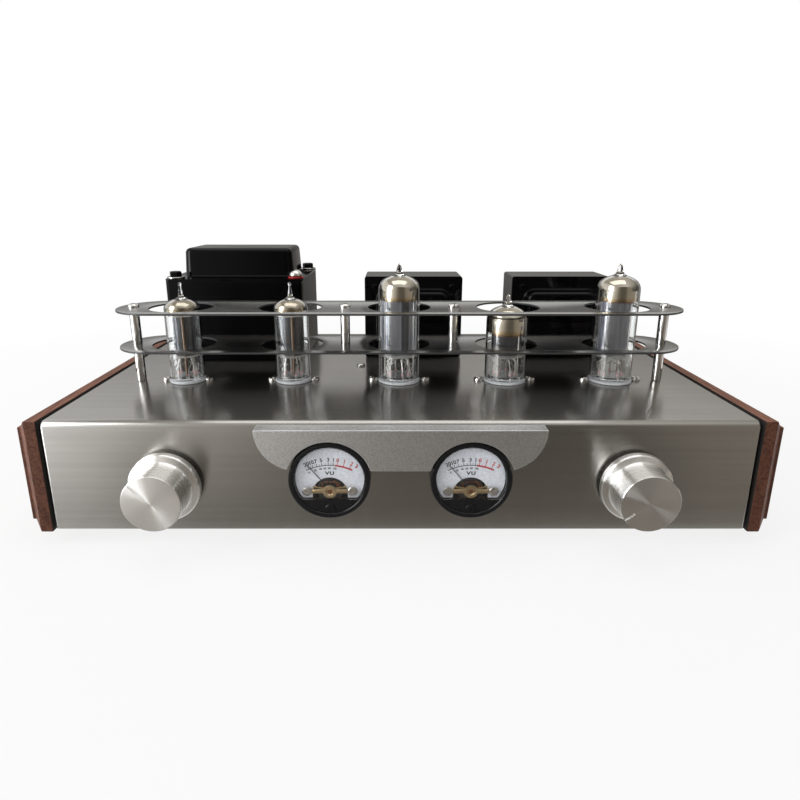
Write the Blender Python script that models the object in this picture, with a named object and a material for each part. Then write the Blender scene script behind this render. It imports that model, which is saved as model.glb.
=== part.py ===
"""Stereo tube amplifier: a folded steel chassis between wooden end panels, with a row of five tubes
behind a two-deck guard rail, three transformers, twin level meters and two turned knobs.

The front faces -Y, +Z is up, and the origin is under the middle of the whole object.
"""

import math

import bmesh
import bpy
from mathutils import Matrix

MM = 0.001

# Facets round a full turn
LARGE_ROUND = 26
PLATE_ROUND = 24
BULB_ROUND = 16
SMALL_ROUND = 10
ROD_ROUND = 6

# Clearances
FIT_GAP = 0.3 * MM
RUN_GAP = 0.25 * MM

# Chassis, sheet steel
CHASSIS_WIDTH = 322.8 * MM
CHASSIS_HEIGHT = 53.3 * MM
CHASSIS_DEPTH = 190.0 * MM
SHEET = 1.5 * MM
BEND_RADIUS = 2.2 * MM
TRAY_LIP_ROOM = 1.5 * MM
VENT_LENGTH = 42.0 * MM
VENT_WIDTH = 3.6 * MM
VENT_PITCH = 12.0 * MM
VENT_COUNT = 4
VENT_BANK_X = 70.0 * MM

# Wooden end panels
WOOD_THICKNESS = 12.5 * MM
WOOD_DROP = 1.7 * MM
WOOD_CHAMFER_ACROSS = 4.1 * MM
WOOD_CHAMFER_ALONG = 4.3 * MM
WOOD_STEP = 1.7 * MM
WOOD_GROOVE_ACROSS = 1.3 * MM
WOOD_GROOVE_ALONG = 3.0 * MM

# Feet
FOOT_HEIGHT = 8.0 * MM
FOOT_RADIUS = 10.0 * MM
FOOT_TAPER = 1.5 * MM
FOOT_INSET_X = 30.0 * MM
FOOT_INSET_Y = 34.0 * MM

# Level meters
METER_X = 31.9 * MM
METER_DROP = 26.2 * MM
BEZEL_RADIUS = 18.5 * MM
BEZEL_PROUD = 6.0 * MM
BEZEL_CHAMFER = 0.8 * MM
WINDOW_RADIUS = 15.9 * MM
METER_BODY_RADIUS = 17.0 * MM
METER_BODY_DEPTH = 22.0 * MM
METER_FLOOR_DEPTH = 9.0 * MM
LEDGE_WIDTH = 1.4 * MM
LEDGE_RECESS = 4.0 * MM
DIAL_THICKNESS = 0.5 * MM
DIAL_NOTCH_RADIUS = 7.0 * MM
COVER_CHORD = 8.2 * MM
COVER_RECESS = 0.9 * MM
PIVOT_DROP = 5.0 * MM
CORE_RADIUS = 6.3 * MM
NEEDLE_LENGTH = 16.9 * MM
NEEDLE_WIDTH = 0.6 * MM
NEEDLE_THICKNESS = 0.4 * MM
NEEDLE_HUB_RADIUS = 2.0 * MM
NEEDLE_LIFT = 0.6 * MM
NEEDLE_REST_DEG = 40.0
LENS_THICKNESS = 0.8 * MM
LENS_RECESS = 1.0 * MM

# Escutcheon over the meters
BADGE_HALF_WIDTH = 64.2 * MM
BADGE_TOP_DROP = 1.3 * MM
BADGE_HEIGHT = 19.2 * MM
BADGE_CORNER_RADIUS = 18.9 * MM
BADGE_THICKNESS = 7.5 * MM
BADGE_CHAMFER = 0.8 * MM
BADGE_METER_GAP = 0.9 * MM

# Knobs and the controls behind them
KNOB_X = 106.4 * MM
KNOB_DROP = 29.7 * MM
KNOB_GAP = 1.0 * MM
KNOB_LENGTH = 19.8 * MM
KNOB_FLANGE_RADIUS = 16.2 * MM
KNOB_FLANGE_LENGTH = 5.0 * MM
KNOB_BODY_RADIUS = 13.0 * MM
KNOB_EDGE = 0.8 * MM
KNOB_RECESS_RADIUS = 9.0 * MM
KNOB_RECESS_DEPTH = 5.0 * MM
KNOB_CROWN = 4.0 * MM
GROOVE_WIDTH = 1.0 * MM
GROOVE_LENGTH = 5.0 * MM
GROOVE_DEPTH = 0.6 * MM
VOLUME_GROOVE_DEG = 215.0
SELECTOR_GROOVE_DEG = 135.0
SHAFT_RADIUS = 3.0 * MM
BUSHING_RADIUS = 4.6 * MM
BUSHING_REACH = 4.0 * MM
BUSHING_BORE_DEPTH = 8.0 * MM
CONTROL_RADIUS = 12.0 * MM
VOLUME_BODY_DEPTH = 20.0 * MM
SELECTOR_BODY_DEPTH = 14.0 * MM

# Tubes, in a row of five
TUBE_SETBACK = 65.4 * MM
TUBE_PITCH = 57.9 * MM
NOVAL_RADIUS = 11.0 * MM
MINIATURE_RADIUS = 9.25 * MM
GLASS_WALL = 0.8 * MM
TALL_HEIGHT = 61.9 * MM
SHORT_HEIGHT = 45.7 * MM
MEDIUM_HEIGHT = 52.1 * MM
NOVAL_PIP = 5.5 * MM
MINIATURE_PIP = 8.6 * MM
NOVAL_DOME = 8.2 * MM
MINIATURE_DOME = 5.4 * MM
PIP_RADIUS = 1.3 * MM
BUTTON_HEIGHT = 2.2 * MM
MICA_THICKNESS = 0.7 * MM
ANODE_START = 13.0 * MM
ANODE_HEADROOM = 3.5 * MM
ANODE_SIDE_ROOM = 2.4 * MM
ANODE_DEPTH = 8.0 * MM
ANODE_CORNER = 2.0 * MM
ANODE_SLIT = 1.2 * MM
ROD_RADIUS = 0.6 * MM
SOCKET_RISE = 1.5 * MM
SOCKET_RIM = 0.4 * MM
SOCKET_DEPTH = 12.0 * MM
SOCKET_NECK_INSET = 1.2 * MM

# Guard rail
GUARD_END = 7.7 * MM
GUARD_HALF_WIDTH = 21.6 * MM
GUARD_SHEET = 1.0 * MM
GUARD_LOWER_TOP = 20.9 * MM
GUARD_UPPER_TOP = 40.7 * MM
GUARD_HOLE_RADIUS = 16.6 * MM
POST_OUTSET = 25.7 * MM
POST_RADIUS = 2.5 * MM
POST_STUD_RADIUS = 1.5 * MM
POST_HEAD_RADIUS = 2.9 * MM
POST_HEAD_HEIGHT = 1.7 * MM

# Power transformer, laid flat
POWER_X = -98.2 * MM
POWER_SETBACK = 106.0 * MM
POWER_WIDTH = 82.0 * MM
POWER_DEPTH = 66.0 * MM
POWER_STACK = 49.0 * MM
POWER_CORNER = 2.5 * MM
POWER_FLANGE = 1.2 * MM
POWER_BELL_WIDTH = 67.0 * MM
POWER_BELL_DEPTH = 40.0 * MM
POWER_BELL_HEIGHT = 18.3 * MM
POWER_BELL_CORNER = 5.0 * MM
POWER_BELL_ROUND = 3.0 * MM

# Output transformers, standing
OUTPUT_XS = (9.3 * MM, 99.8 * MM)
OUTPUT_SETBACK = 117.0 * MM
OUTPUT_WIDTH = 60.0 * MM
OUTPUT_HEIGHT = 50.5 * MM
OUTPUT_STACK = 27.0 * MM
OUTPUT_CORNER = 1.5 * MM
COVER_FLANGE = 1.2 * MM
COVER_DOME_INSET = 8.0 * MM
COVER_DOME_HEIGHT = 7.0 * MM
COVER_DOME_CORNER = 6.0 * MM
COVER_DOME_ROUND = 2.5 * MM

# Rear panel fittings
REAR_CENTRE_DROP = 27.0 * MM
INLET_X = -100.0 * MM
INLET_WIDTH = 60.0 * MM
INLET_HEIGHT = 30.0 * MM
INLET_FLANGE = 2.5 * MM
INLET_CORNER = 3.0 * MM
INLET_RIM = 3.0 * MM
INLET_BODY_DEPTH = 24.0 * MM
INLET_MOUTH_WIDTH = 25.0 * MM
INLET_MOUTH_HEIGHT = 19.0 * MM
INLET_MOUTH_DEPTH = 17.0 * MM
INLET_MOUTH_X = -12.0 * MM
INLET_PIN_LENGTH = 10.0 * MM
INLET_PIN_WIDTH = 2.0 * MM
INLET_PIN_HEIGHT = 4.0 * MM
INLET_PIN_SPACING = 7.0 * MM
INLET_EARTH_RISE = 4.0 * MM
ROCKER_X = 16.5 * MM
ROCKER_WIDTH = 13.0 * MM
ROCKER_HEIGHT = 19.0 * MM
ROCKER_GAP = 0.8 * MM
ROCKER_SIDE_GAP = 0.4 * MM
ROCKER_BASE = 2.5 * MM
ROCKER_WELL = 12.0 * MM
ROCKER_RADIUS = 9.0 * MM
ROCKER_PROUD = 2.2 * MM
ROCKER_TILT_DEG = 9.0
JACK_X = 118.0 * MM
JACK_PLATE_WIDTH = 44.0 * MM
JACK_PLATE_HEIGHT = 34.0 * MM
JACK_PLATE = 2.0 * MM
JACK_PITCH_X = 22.0 * MM
JACK_PITCH_Z = 15.0 * MM
JACK_RADIUS = 4.2 * MM
JACK_REACH = 9.0 * MM
JACK_BORE = 1.6 * MM
JACK_TAIL_RADIUS = 3.0 * MM
JACK_TAIL = 8.0 * MM
TERMINAL_X = 18.0 * MM
TERMINAL_COUNT = 4
TERMINAL_PITCH = 24.0 * MM
TERMINAL_PLATE_MARGIN = 14.0 * MM
TERMINAL_PLATE_HEIGHT = 26.0 * MM
TERMINAL_PLATE = 3.0 * MM
TERMINAL_STUD_RADIUS = 2.0 * MM
TERMINAL_TAIL = 10.0 * MM
CAP_RADIUS = 6.5 * MM
CAP_LENGTH = 15.0 * MM
CAP_WALL = 2.0 * MM
CAP_GRIP_FLATS = 12

# Inside the chassis
BOARD_WIDTH = 190.0 * MM
BOARD_DEPTH = 76.0 * MM
BOARD_THICKNESS = 1.6 * MM
BOARD_STANDOFF = 7.0 * MM
BOARD_STANDOFF_RADIUS = 3.0 * MM
BOARD_STANDOFF_INSET = 8.0 * MM
BOARD_SETBACK = 84.0 * MM
CAPACITOR_RADIUS = 12.0 * MM
CAPACITOR_HEIGHT = 30.0 * MM
CAPACITOR_X = -50.0 * MM

# Places worked out from the sizes above
KNOB_REACH = KNOB_GAP + KNOB_LENGTH
TERMINAL_REACH = FIT_GAP + TERMINAL_PLATE + FIT_GAP + CAP_LENGTH
FRONT_Y = (KNOB_REACH - CHASSIS_DEPTH - TERMINAL_REACH) / 2
REAR_Y = FRONT_Y + CHASSIS_DEPTH
BASE_Z = FOOT_HEIGHT + FIT_GAP
DECK_Z = BASE_Z + CHASSIS_HEIGHT
METER_Z = DECK_Z - METER_DROP
KNOB_Z = DECK_Z - KNOB_DROP
TUBE_Y = FRONT_Y + TUBE_SETBACK
REAR_CENTRE_Z = DECK_Z - REAR_CENTRE_DROP
POST_X = 2 * TUBE_PITCH + POST_OUTSET
GUARD_HALF_LENGTH = POST_X + GUARD_END
GUARD_TOPS = {"lower": DECK_Z + GUARD_LOWER_TOP, "upper": DECK_Z + GUARD_UPPER_TOP}
TRAY_TOP = BASE_Z + SHEET
TRAY_LIP_TOP = METER_Z - METER_BODY_RADIUS - TRAY_LIP_ROOM
METER_HOLE_RADIUS = METER_BODY_RADIUS + FIT_GAP
BUSHING_HOLE_RADIUS = BUSHING_RADIUS + FIT_GAP

# Each tube: position in the row, bulb radius, height, exhaust pip, dome and number of anodes
TUBES = (
    (-2, MINIATURE_RADIUS, MEDIUM_HEIGHT, MINIATURE_PIP, MINIATURE_DOME, 1),
    (-1, MINIATURE_RADIUS, MEDIUM_HEIGHT, MINIATURE_PIP, MINIATURE_DOME, 1),
    (0, NOVAL_RADIUS, TALL_HEIGHT, NOVAL_PIP, NOVAL_DOME, 1),
    (1, NOVAL_RADIUS, SHORT_HEIGHT, NOVAL_PIP, NOVAL_DOME, 2),
    (2, NOVAL_RADIUS, TALL_HEIGHT, NOVAL_PIP, NOVAL_DOME, 1),
)

FACING_FRONT = (math.pi / 2, 0, 0)
FACING_REAR = (-math.pi / 2, 0, 0)
ALONG_X = (math.pi / 2, 0, math.pi / 2)


# Shape helpers


def arc(centre, radius, start_deg, end_deg, steps):
    """Points of a circular arc, both ends included."""
    points = []
    for step in range(steps + 1):
        angle = math.radians(start_deg + (end_deg - start_deg) * step / steps)
        points.append((centre[0] + radius * math.cos(angle), centre[1] + radius * math.sin(angle)))
    return points


def rounded_rectangle(width, height, radius, centre=(0, 0), steps=2):
    """Outline of a rectangle with round corners, anticlockwise."""
    x = width / 2 - radius
    y = height / 2 - radius
    points = []
    for start, side_x, side_y in ((0, x, y), (90, -x, y), (180, -x, -y), (270, x, -y)):
        corner = (centre[0] + side_x, centre[1] + side_y)
        points += arc(corner, radius, start, start + 90, steps)
    return points


def stadium(half_length, half_width, steps):
    """Outline of a slot with round ends, long side along the first axis."""
    centre = half_length - half_width
    return arc((centre, 0), half_width, -90, 90, steps) + arc((-centre, 0), half_width, 90, 270, steps)


def prism(outline, low, high):
    """A flat outline in local XY, extruded along local Z from low to high."""
    shape = bmesh.new()
    base = shape.faces.new([shape.verts.new((x, y, low)) for x, y in outline])
    grown = bmesh.ops.extrude_face_region(shape, geom=[base])
    moved = [item for item in grown["geom"] if isinstance(item, bmesh.types.BMVert)]
    bmesh.ops.translate(shape, verts=moved, vec=(0, 0, high - low))
    bmesh.ops.recalc_face_normals(shape, faces=shape.faces)
    return shape


def loft(sections):
    """A closed skin through outlines with equal numbers of points, each given with its height."""
    shape = bmesh.new()
    rings = []
    for outline, height in sections:
        rings.append([shape.verts.new((x, y, height)) for x, y in outline])
    for lower, upper in zip(rings, rings[1:]):
        for index in range(len(lower)):
            after = (index + 1) % len(lower)
            shape.faces.new((lower[index], lower[after], upper[after], upper[index]))
    shape.faces.new(rings[0])
    shape.faces.new(rings[-1])
    bmesh.ops.recalc_face_normals(shape, faces=shape.faces)
    return shape


def lathe(profile, segments, closed=False):
    """A profile of (radius, height) points turned about local Z. A closed profile makes a ring."""
    shape = bmesh.new()
    points = [shape.verts.new((radius, 0, height)) for radius, height in profile]
    edges = [shape.edges.new(pair) for pair in zip(points, points[1:])]
    if closed:
        edges.append(shape.edges.new((points[-1], points[0])))
    bmesh.ops.spin(
        shape,
        geom=points + edges,
        axis=(0, 0, 1),
        cent=(0, 0, 0),
        angle=2 * math.pi,
        steps=segments,
        use_merge=True,
    )
    bmesh.ops.remove_doubles(shape, verts=shape.verts, dist=0.001 * MM)
    bmesh.ops.recalc_face_normals(shape, faces=shape.faces)
    return shape


def disc(radius, low, high, segments):
    """A plain round bar between two heights."""
    return lathe(((0, low), (radius, low), (radius, high), (0, high)), segments)


def block(width, depth, low, high, centre=(0, 0)):
    """A square bar between two heights."""
    x, y = centre
    outline = [(x + sx * width / 2, y + sy * depth / 2) for sx, sy in ((-1, -1), (1, -1), (1, 1), (-1, 1))]
    return prism(outline, low, high)


def moved(shape, x=0, y=0, z=0, rotation=(0, 0, 0)):
    """The shape turned about its own origin, then shifted."""
    turn = Matrix.Identity(4)
    for angle, axis in zip(rotation, "XYZ"):
        turn = Matrix.Rotation(angle, 4, axis) @ turn
    bmesh.ops.transform(shape, matrix=Matrix.Translation((x, y, z)) @ turn, verts=shape.verts)
    return shape


def joined(shapes):
    """Several shapes in one mesh."""
    whole = bmesh.new()
    for shape in shapes:
        held = bpy.data.meshes.new("held")
        shape.to_mesh(held)
        shape.free()
        whole.from_mesh(held)
        bpy.data.meshes.remove(held)
    return whole


# Scene helpers


def material(name, colour, roughness, metallic=0.0, alpha=1.0):
    """A plain finish with one Principled shader."""
    made = bpy.data.materials.new(name)
    made.use_nodes = True
    shader = made.node_tree.nodes["Principled BSDF"]
    shader.inputs["Base Color"].default_value = (*colour, 1.0)
    shader.inputs["Roughness"].default_value = roughness
    shader.inputs["Metallic"].default_value = metallic
    shader.inputs["Alpha"].default_value = alpha
    made.diffuse_color = (*colour, alpha)
    return made


def new_object(name, shape, location, rotation):
    """Links a shape into the scene as a named object."""
    mesh = bpy.data.meshes.new(name)
    shape.to_mesh(mesh)
    shape.free()
    made = bpy.data.objects.new(name, mesh)
    made.location = location
    made.rotation_euler = rotation
    bpy.context.scene.collection.objects.link(made)
    return made


def piece(name, shape, finish, location=(0, 0, 0), rotation=(0, 0, 0)):
    """One sub-part, smooth over its curves and sharp at its edges."""
    made = new_object(name, shape, location, rotation)
    made.data.materials.append(finish)
    made.data.shade_smooth()
    made.data.set_sharp_from_angle(angle=math.radians(35))
    return made


def combine(target, shapes, operation):
    """A Boolean of the target with shapes given in the target's own frame."""
    label = target.name + "_" + operation.lower() + str(len(target.modifiers))
    helper = new_object(label, joined(shapes), (0, 0, 0), (0, 0, 0))
    helper.parent = target
    helper.hide_render = True
    helper.display_type = "WIRE"
    change = target.modifiers.new(label, "BOOLEAN")
    change.operation = operation
    change.solver = "EXACT"
    change.use_self = operation == "UNION"
    change.object = helper


# Chassis


def make_chassis(finish):
    """The folded shell: front, deck and rear in one bent sheet, with every cut-out."""
    inner_bend = max(BEND_RADIUS - SHEET, 0.1 * MM)
    bend_steps = 4

    def fold(inset, radius):
        front = FRONT_Y + inset
        rear = REAR_Y - inset
        top = DECK_Z - inset
        line = [(front, BASE_Z)]
        line += arc((front + radius, top - radius), radius, 180, 90, bend_steps)
        line += arc((rear - radius, top - radius), radius, 90, 0, bend_steps)
        return line + [(rear, BASE_Z)]

    outline = fold(0, BEND_RADIUS) + fold(SHEET, inner_bend)[::-1]
    sheet = prism(outline, -CHASSIS_WIDTH / 2, CHASSIS_WIDTH / 2)
    chassis = piece("chassis_shell", moved(sheet, rotation=ALONG_X), finish)
    reach = 2 * SHEET
    holes = []
    for side in (-1, 1):
        for radius, x, z, sides in (
            (METER_HOLE_RADIUS, METER_X, METER_Z, LARGE_ROUND),
            (BUSHING_HOLE_RADIUS, KNOB_X, KNOB_Z, BULB_ROUND),
        ):
            bar = disc(radius, -reach, reach, sides)
            holes.append(moved(bar, side * x, FRONT_Y, z, FACING_FRONT))
    for place, radius, *_ in TUBES:
        neck = radius - SOCKET_NECK_INSET + FIT_GAP
        holes.append(moved(disc(neck, -reach, reach, BULB_ROUND), place * TUBE_PITCH, TUBE_Y, DECK_Z))
    inlet = rounded_rectangle(
        INLET_WIDTH - 2 * INLET_RIM + 2 * FIT_GAP,
        INLET_HEIGHT - 2 * INLET_RIM + 2 * FIT_GAP,
        INLET_CORNER,
    )
    holes.append(moved(prism(inlet, -reach, reach), INLET_X, REAR_Y, REAR_CENTRE_Z, FACING_REAR))
    for x, z in jack_places():
        bar = disc(JACK_TAIL_RADIUS + FIT_GAP, -reach, reach, SMALL_ROUND)
        holes.append(moved(bar, JACK_X + x, REAR_Y, REAR_CENTRE_Z + z, FACING_REAR))
    for x in terminal_places():
        bar = disc(TERMINAL_STUD_RADIUS + FIT_GAP, -reach, reach, SMALL_ROUND)
        holes.append(moved(bar, x, REAR_Y, REAR_CENTRE_Z, FACING_REAR))
    combine(chassis, holes, "DIFFERENCE")


def make_bottom_plate(finish):
    """A shallow tray whose upturned lips stand inside the front and rear panels."""
    front = FRONT_Y + SHEET + FIT_GAP
    rear = REAR_Y - SHEET - FIT_GAP
    outline = [
        (front, BASE_Z),
        (rear, BASE_Z),
        (rear, TRAY_LIP_TOP),
        (rear - SHEET, TRAY_LIP_TOP),
        (rear - SHEET, TRAY_TOP),
        (front + SHEET, TRAY_TOP),
        (front + SHEET, TRAY_LIP_TOP),
        (front, TRAY_LIP_TOP),
    ]
    sheet = prism(outline, -CHASSIS_WIDTH / 2, CHASSIS_WIDTH / 2)
    tray = piece("bottom_plate", moved(sheet, rotation=ALONG_X), finish)
    slots = []
    for side in (-1, 1):
        for index in range(VENT_COUNT):
            y = (FRONT_Y + REAR_Y) / 2 + (index - (VENT_COUNT - 1) / 2) * VENT_PITCH
            slot = prism(stadium(VENT_LENGTH / 2, VENT_WIDTH / 2, 4), -SHEET, 2 * SHEET)
            slots.append(moved(slot, side * VENT_BANK_X, y, BASE_Z))
    combine(tray, slots, "DIFFERENCE")


def make_side_panels(finish):
    """Wooden end panels with a chamfer and step round the outer face and a groove by the steel."""
    bottom = BASE_Z - WOOD_DROP
    height = DECK_Z - bottom
    centre = ((FRONT_Y + REAR_Y) / 2, (DECK_Z + bottom) / 2)

    def rectangle(inset):
        half_y = CHASSIS_DEPTH / 2 - inset
        half_z = height / 2 - inset
        corners = ((-1, -1), (1, -1), (1, 1), (-1, 1))
        return [(centre[0] + sy * half_y, centre[1] + sz * half_z) for sy, sz in corners]

    for name, side in (("left", -1), ("right", 1)):
        inner = CHASSIS_WIDTH / 2 + FIT_GAP
        outer = inner + WOOD_THICKNESS
        step = outer - WOOD_STEP
        panel = loft(
            (
                (rectangle(WOOD_GROOVE_ALONG), side * inner),
                (rectangle(0), side * (inner + WOOD_GROOVE_ACROSS)),
                (rectangle(0), side * (step - WOOD_CHAMFER_ACROSS)),
                (rectangle(WOOD_CHAMFER_ALONG), side * step),
                (rectangle(WOOD_CHAMFER_ALONG), side * outer),
            )
        )
        piece("side_panel_" + name, moved(panel, rotation=ALONG_X), finish)


def make_feet(finish):
    """Four turned rubber feet under the tray."""
    sole = FOOT_RADIUS - FOOT_TAPER
    profile = (
        (0, 0),
        (sole - FOOT_TAPER, 0),
        (sole, FOOT_TAPER),
        (FOOT_RADIUS, FOOT_HEIGHT),
        (0, FOOT_HEIGHT),
    )
    rows = (("front", FRONT_Y + FOOT_INSET_Y), ("rear", REAR_Y - FOOT_INSET_Y))
    for row, y in rows:
        for name, side in (("left", -1), ("right", 1)):
            x = side * (CHASSIS_WIDTH / 2 - FOOT_INSET_X)
            piece("foot_" + row + "_" + name, lathe(profile, BULB_ROUND), finish, (x, y, 0))


# Front panel


def make_badge(finish):
    """A thick bevelled plate whose lower corners sweep up, with bays for the two meters."""
    top = DECK_Z - BADGE_TOP_DROP

    def outline(inset):
        half = BADGE_HALF_WIDTH - inset
        upper = top - inset
        lower = top - BADGE_HEIGHT + inset
        radius = BADGE_CORNER_RADIUS - inset
        line = [(half, upper), (-half, upper)]
        line += arc((radius - half, lower + radius), radius, 180, 270, 10)
        return line + arc((half - radius, lower + radius), radius, 270, 360, 10)

    solid = loft(
        (
            (outline(0), FIT_GAP),
            (outline(0), BADGE_THICKNESS - BADGE_CHAMFER),
            (outline(BADGE_CHAMFER), BADGE_THICKNESS),
        )
    )
    badge = piece("badge_plate", solid, finish, (0, FRONT_Y, 0), FACING_FRONT)
    bay = BEZEL_RADIUS + BADGE_METER_GAP
    flare = bay + 2 * BADGE_CHAMFER
    profile = (
        (0, -SHEET),
        (bay, -SHEET),
        (bay, BADGE_THICKNESS - BADGE_CHAMFER),
        (flare, BADGE_THICKNESS + BADGE_CHAMFER),
        (0, BADGE_THICKNESS + BADGE_CHAMFER),
    )
    bays = [moved(lathe(profile, LARGE_ROUND), side * METER_X, METER_Z) for side in (-1, 1)]
    combine(badge, bays, "DIFFERENCE")


def window_segment(radius, chord, steps=PLATE_ROUND):
    """A disc outline cut off below a chord."""
    start = -math.degrees(math.asin(chord / radius))
    return arc((0, 0), radius, start, 180 - start, steps)


def make_meter(name, side, finishes):
    """A round level meter: case, dial, needle and lens."""
    place = (side * METER_X, FRONT_Y, METER_Z)
    ledge = WINDOW_RADIUS - LEDGE_WIDTH
    seat = BEZEL_PROUD - LEDGE_RECESS
    profile = (
        (0, -METER_BODY_DEPTH),
        (METER_BODY_RADIUS, -METER_BODY_DEPTH),
        (METER_BODY_RADIUS, FIT_GAP),
        (BEZEL_RADIUS, FIT_GAP),
        (BEZEL_RADIUS, BEZEL_PROUD - BEZEL_CHAMFER),
        (BEZEL_RADIUS - BEZEL_CHAMFER, BEZEL_PROUD),
        (WINDOW_RADIUS + BEZEL_CHAMFER, BEZEL_PROUD),
        (WINDOW_RADIUS, BEZEL_PROUD - BEZEL_CHAMFER),
        (WINDOW_RADIUS, seat),
        (ledge, seat),
        (ledge, -METER_FLOOR_DEPTH),
        (0, -METER_FLOOR_DEPTH),
    )
    shell = lathe(profile, LARGE_ROUND)
    case = piece("meter_case_" + name, shell, finishes["case"], place, FACING_FRONT)
    dial_front = seat + FIT_GAP + DIAL_THICKNESS
    needle_back = dial_front + NEEDLE_LIFT
    cover_top = BEZEL_PROUD - COVER_RECESS
    wall_bite = (METER_BODY_RADIUS - WINDOW_RADIUS) / 2
    below = [(x, -y) for x, y in window_segment(WINDOW_RADIUS + wall_bite, -COVER_CHORD, SMALL_ROUND)]
    cover = prism(below, -METER_FLOOR_DEPTH - FIT_GAP, cover_top)
    core = disc(CORE_RADIUS, -METER_FLOOR_DEPTH - 2 * FIT_GAP, needle_back - FIT_GAP, BULB_ROUND)
    combine(case, [cover, moved(core, 0, -PIVOT_DROP)], "UNION")

    plate_radius = WINDOW_RADIUS - FIT_GAP
    edge = COVER_CHORD - FIT_GAP
    notch_drop = edge - PIVOT_DROP
    plate = window_segment(plate_radius, edge)
    plate += [(-DIAL_NOTCH_RADIUS, -edge)]
    plate += arc((0, notch_drop - edge), DIAL_NOTCH_RADIUS, 180, 0, SMALL_ROUND)
    plate += [(DIAL_NOTCH_RADIUS, -edge)]
    dial = prism(plate, seat + FIT_GAP, dial_front)
    piece("meter_dial_" + name, dial, finishes["dial"], place, FACING_FRONT)

    lens_front = BEZEL_PROUD - LENS_RECESS
    lens = prism(window_segment(plate_radius, edge), lens_front - LENS_THICKNESS, lens_front)
    piece("meter_lens_" + name, lens, finishes["lens"], place, FACING_FRONT)

    hub = disc(NEEDLE_HUB_RADIUS, needle_back, needle_back + NEEDLE_THICKNESS, SMALL_ROUND)
    pivot = (place[0], FRONT_Y, METER_Z - PIVOT_DROP)
    turn = (math.pi / 2, math.radians(-NEEDLE_REST_DEG), 0)
    needle = piece("meter_needle_" + name, hub, finishes["needle"], pivot, turn)
    half = NEEDLE_WIDTH / 2
    arm = [(-half, 0), (half, 0), (half / 2, NEEDLE_LENGTH), (-half / 2, NEEDLE_LENGTH)]
    thin = NEEDLE_THICKNESS / 4
    combine(needle, [prism(arm, needle_back + thin, needle_back + NEEDLE_THICKNESS - thin)], "UNION")


def make_knob(name, side, groove_deg, body_depth, control, finishes):
    """A turned aluminium knob on the shaft of the control behind the panel."""
    place = (side * KNOB_X, FRONT_Y, KNOB_Z)
    face = KNOB_GAP + KNOB_LENGTH
    shoulder = KNOB_GAP + KNOB_FLANGE_LENGTH
    recess = KNOB_GAP + KNOB_RECESS_DEPTH
    bore_end = face - KNOB_CROWN
    bore = SHAFT_RADIUS + RUN_GAP
    profile = (
        (0, bore_end),
        (bore, bore_end),
        (bore, recess),
        (KNOB_RECESS_RADIUS, recess),
        (KNOB_RECESS_RADIUS, KNOB_GAP),
        (KNOB_FLANGE_RADIUS - KNOB_EDGE, KNOB_GAP),
        (KNOB_FLANGE_RADIUS, KNOB_GAP + KNOB_EDGE),
        (KNOB_FLANGE_RADIUS, shoulder - KNOB_EDGE),
        (KNOB_FLANGE_RADIUS - KNOB_EDGE, shoulder),
        (KNOB_BODY_RADIUS, shoulder),
        (KNOB_BODY_RADIUS, face - KNOB_EDGE),
        (KNOB_BODY_RADIUS - KNOB_EDGE, face),
        (0, face),
    )
    knob = piece(name + "_knob", lathe(profile, LARGE_ROUND), finishes["knob"], place, FACING_FRONT)
    angle = math.radians(groove_deg)
    middle = KNOB_BODY_RADIUS - GROOVE_LENGTH / 2
    slot = block(2 * GROOVE_LENGTH, GROOVE_WIDTH, -GROOVE_DEPTH, GROOVE_DEPTH, (GROOVE_LENGTH / 2, 0))
    slot = moved(slot, middle * math.cos(angle), middle * math.sin(angle), face, (0, 0, angle))
    combine(knob, [slot], "DIFFERENCE")

    body_front = -SHEET - FIT_GAP
    bore_floor = BUSHING_REACH - BUSHING_BORE_DEPTH
    body = (
        (0, body_front - body_depth),
        (CONTROL_RADIUS, body_front - body_depth),
        (CONTROL_RADIUS, body_front),
        (BUSHING_RADIUS, body_front),
        (BUSHING_RADIUS, BUSHING_REACH),
        (SHAFT_RADIUS + RUN_GAP, BUSHING_REACH),
        (SHAFT_RADIUS + RUN_GAP, bore_floor),
        (0, bore_floor),
    )
    piece(control, lathe(body, BULB_ROUND), finishes["control"], place, FACING_FRONT)
    shaft = disc(SHAFT_RADIUS, bore_floor + FIT_GAP, bore_end - FIT_GAP, BULB_ROUND)
    piece(name + "_shaft", shaft, finishes["shaft"], place, FACING_FRONT)


# Tubes and their guard


def bulb_profile(radius, height, pip, dome):
    """Closed profile of a glass bulb, open below, drawn to a sealed pip on top."""
    inside = radius - GLASS_WALL
    shoulder = height - pip - dome
    crown = height - pip
    edge = GLASS_WALL / 2
    profile = [(inside, 0), (radius - edge, 0), (radius, 2 * edge), (radius, shoulder)]
    for step in (1, 2, 3):
        angle = math.pi / 2 * step / 3
        spread = PIP_RADIUS * 1.6 + (radius - PIP_RADIUS * 1.6) * math.cos(angle)
        profile.append((spread, shoulder + dome * math.sin(angle)))
    profile.append((PIP_RADIUS, crown + pip / 4))
    profile.append((PIP_RADIUS * 0.8, height - PIP_RADIUS))
    profile.append((0, height))
    return profile, inside, shoulder, crown


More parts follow.
